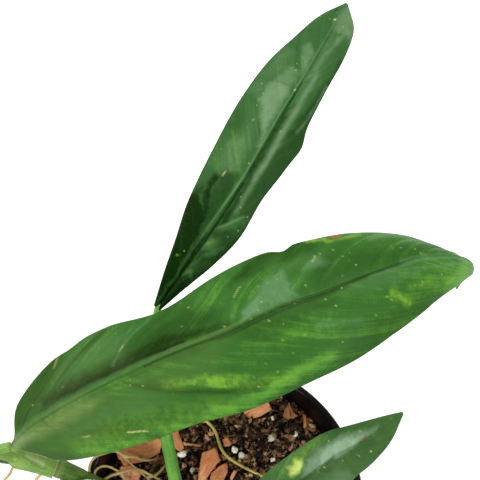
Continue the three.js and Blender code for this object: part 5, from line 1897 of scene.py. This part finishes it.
@dataclass
class NurseryPot:
    """A thin black nursery pot: tapered wall, rolled rim, ringed base with drain slots."""

    height: float = 100.0
    rim_radius: float = 60.0
    rim_inside: float = 56.8
    skirt: float = 8.0
    rim_roll: Place = (1.6, 1.3)
    base_radius: float = 43.0
    wall: float = 1.4
    floor: float = 4.2
    segments: int = 180
    slots: int = 8
    slot_length: float = 7.0
    slot_width: float = 5.0
    slot_circle: float = 30.0
    slot_sides: int = 24
    sharp_angle: float = 35.0

    def inside(self, z: float) -> float:
        """Radius of the inner wall at a height."""
        low = self.base_radius - self.wall
        return low + (self.rim_inside - low) * (z - self.floor) / (self.height - 1 - self.floor)

    def profile(self) -> list[Place]:
        """The pot's section, from the middle of the underside round to the middle of its floor."""
        shoulder = self.height - self.skirt
        outer = [(0.0, 0.0), (8.0, 0.0), (16.0, 0.0), (23.6, 0.0), (24.0, 0.3), (24.9, 2.2), (25.3, 2.4),
                 (30.0, 2.4), (34.7, 2.4), (35.1, 2.2), (35.8, 0.3), (36.2, 0.0), (38.5, 0.0), (40.8, 0.0),
                 (41.8, 0.25), (42.6, 0.8), (43.0, 1.6)]
        (foot, foot_top), top = outer[-1], self.inside(shoulder) + self.wall
        rise = np.linspace(0.0, 1.0, 15)[1:]
        walls = [(foot + (top - foot) * f, foot_top + (shoulder - foot_top) * f) for f in rise]
        skirt = ((1.2, 0.1), (0.5, 0.4), (0.15, 1.0), (0.02, 2.0))
        steps = [(self.rim_radius - back, shoulder + up) for back, up in skirt]
        steps.append((self.rim_radius, self.height - 2 * self.rim_roll[1]))
        wide, high = self.rim_roll
        turns = [math.pi * k / 8 for k in range(9)]
        roll = [(self.rim_radius - wide + wide * math.cos(turn), self.height - high + high * math.sin(turn))
                for turn in turns]
        inner = [(self.inside(self.height * f), self.height * f) for f in np.linspace(0.97, 0.06, 14)]
        low = self.base_radius - self.wall
        corner = [(low - 0.2, self.floor + 0.7), (low - 0.8, self.floor + 0.15)]
        ground = [(radius, self.floor) for radius in (39.0, 35.0, 24.0, 12.0, 0.0)]
        return outer + walls + steps + roll + inner + corner + ground

    def turned(self) -> Object:
        """The pot turned from its section, without the slots."""
        profile = self.profile()
        work = bmesh.new()
        line = [work.verts.new((r * MM, 0.0, z * MM)) for r, z in profile]
        edges = [work.edges.new(pair) for pair in zip(line[:-1], line[1:])]
        bmesh.ops.spin(work, geom=line + edges, cent=(0, 0, 0), axis=(0, 0, 1), angle=2 * math.pi,
                       steps=self.segments, use_merge=True)
        bmesh.ops.remove_doubles(work, verts=work.verts, dist=0.005 * MM)
        bmesh.ops.recalc_face_normals(work, faces=work.faces)
        mesh = bpy.data.meshes.new("nursery_pot")
        work.to_mesh(mesh)
        work.free()
        return linked("nursery_pot", mesh)

    def cutter(self) -> Object:
        """The drain slots, round at both ends, as one set of solids."""
        work = bmesh.new()
        reach = (self.slot_length - self.slot_width) / 2
        radius = self.slot_width / 2
        for i in range(self.slots):
            turn = 2 * math.pi * (i + 0.5) / self.slots
            rings = []
            for z in (-1.0, self.floor + 1.0):
                ring = []
                for k in range(self.slot_sides):
                    angle = 2 * math.pi * (k + 0.5) / self.slot_sides
                    along = math.cos(angle)
                    along = self.slot_circle + math.copysign(reach, along) + radius * along
                    across = radius * math.sin(angle)
                    x = along * math.cos(turn) - across * math.sin(turn)
                    y = along * math.sin(turn) + across * math.cos(turn)
                    ring.append(work.verts.new((x * MM, y * MM, z * MM)))
                rings.append(ring)
            work.faces.new(rings[0][::-1])
            work.faces.new(rings[1])
            for k in range(self.slot_sides):
                after = (k + 1) % self.slot_sides
                work.faces.new((rings[0][k], rings[0][after], rings[1][after], rings[1][k]))
        mesh = bpy.data.meshes.new("slot_cutter")
        work.to_mesh(mesh)
        work.free()
        return linked("slot_cutter", mesh)

    def build(self) -> None:
        """Turns the pot, cuts its slots and puts it in the frame."""
        pot = self.turned()
        cutter = self.cutter()
        cut = pot.modifiers.new("slots", "BOOLEAN")
        cut.object = cutter
        cut.solver = "EXACT"
        applied(pot)
        bpy.data.objects.remove(cutter)
        cover(pot.data, POT_BLACK.material())
        pot.data.set_sharp_from_angle(angle=math.radians(self.sharp_angle))
        settle(pot, POT_BLACK.name, "pot")


# Studio


@dataclass
class Studio:
    """The pale floor, the soft lights and the camera."""

    camera_place: Point = (0.007, 0.025, 0.404)
    camera_tilt: float = 16.9
    lens: float = 50.0
    sensor: float = 36.0
    floor_size: float = 4.0
    floor_drop: float = 0.0004
    plant_middle: Point = (0.0, 0.05, 0.1)
    mix_middle: Point = (0.0, 0.0, 0.085)
    spot_place: Point = (-0.3, -0.6, 0.62)
    soft_lamps: tuple[tuple[str, Point, float, float], ...] = (
        ("key", (0.05, 0.95, 1.6), 0.55, 17.0),
        ("left", (-1.5, 0.3, 1.1), 0.8, 13.0),
        ("right", (1.1, -0.75, 1.35), 0.8, 13.0))

    def camera(self) -> None:
        """The camera, looking down on the plant."""
        data = bpy.data.cameras.new("camera")
        data.lens = self.lens
        data.sensor_width = self.sensor
        data.clip_start = 0.01
        camera = linked("camera", data)
        camera.location = self.camera_place
        camera.rotation_euler = (math.radians(self.camera_tilt), 0.0, 0.0)
        bpy.context.scene.camera = camera

    def floor(self) -> None:
        """The floor that the pot stands on."""
        s = Shader("studio_floor")
        cloud = s.noise(s.place(), 3.0, 2.0)
        normal = s.bump(s.noise(s.place(), 900.0, 2.0), 0.05, 0.0001)
        material = s.done(s.mix(cloud, "f7f7f5", "ffffff"), 0.9, normal, Specular_IOR_Level=0.1,
                          Emission_Strength=0.3)
        half = self.floor_size / 2
        mesh = bpy.data.meshes.new("studio_floor")
        corners = [(-half, -half), (half, -half), (half, half), (-half, half)]
        mesh.from_pydata([(x, y, -self.floor_drop) for x, y in corners], [], [(0, 1, 2, 3)])
        mesh.materials.append(material)
        floor = linked("studio_floor", mesh)

    def lamp(self, name: str, kind: str, place: Point, aim: Point, power: float) -> Light:
        """A light aimed at a point.

        Args:
            name: the light's name.
            kind: AREA for a square soft light, SPOT for a narrow one.
            place: where it hangs.
            aim: the point that it is turned to.
            power: its power in watts.

        Returns:
            The light, whose size is still to be set.
        """
        data = bpy.data.lights.new(name, kind)
        data.energy = power
        lamp = linked(name, data)
        lamp.location = place
        lamp.rotation_euler = (Vector(aim) - Vector(place)).to_track_quat("-Z", "Y").to_euler()
        return data

    def build(self) -> None:
        """Sets up the whole studio; the spot reaches into the pot below the leaves."""
        self.camera()
        self.floor()
        for name, place, size, power in self.soft_lamps:
            self.lamp(name, "AREA", place, self.plant_middle, power).size = size
        spot = self.lamp("front", "SPOT", self.spot_place, self.mix_middle, 14.0)
        spot.spot_size = math.radians(9.5)
        spot.spot_blend = 0.5
        spot.shadow_soft_size = 0.05
        world = bpy.data.worlds.new("studio_air")
        world.use_nodes = True
        air = world.node_tree.nodes["Background"]
        air.inputs["Color"].default_value = (0.95, 0.97, 1.0, 1.0)
        air.inputs["Strength"].default_value = 0.36
        bpy.context.scene.world = world
        bpy.context.scene.view_settings.view_transform = "Standard"


def main() -> None:
    """Builds the plant, the mix and the pot in order."""
    logging.basicConfig(level=logging.INFO, format="%(message)s")
    Studio().build()
    LeafBlade("leaf_a_blade", UPPER_SHAPE, UPPER_GREEN, UPPER_MARKS, 330, 30).build()
    LeafBlade("leaf_b_blade", BROAD_SHAPE, BROAD_GREEN, BROAD_MARKS, 440, 40).build()
    LeafBlade("leaf_c_blade", SMALL_SHAPE, SMALL_GREEN, SMALL_MARKS, 220, 24).build()
    for stalk in (STEM, PETIOLE_A, PETIOLE_B, PETIOLE_C, TIP):
        stalk.build()
    # the wrapped sheath gets painted shade at its start, the dry sheath painted light along its length
    Sheath("wrapped_sheath", 0.67, 0.826, 0.35, 0.7, (-62, -62, -60, -56, -50), (250, 245, 210, 140, 78, 0),
           0.4, STEM, ("leaf_b_petiole",), (0.6, -0.4), ((0.25, 0.19), (0.62, 0.19))).build()
    Sheath("dry_sheath", 0.53, 0.635, 0.35, 0.7, (-30, -28, -8, 30, 75), (200, 215, 220, 215, 205),
           0.4, STEM, ("old_sheath",), (-1.2, -0.2), ((0.1, 0.3), (0.5, 0.5)), 1.2).build()
    for root in ROOTS:
        root.build()
    BarkChips().build()
    PerliteGrains().build()
    PottingMix().build()
    NurseryPot().build()


if __name__ == "__main__":
    main()
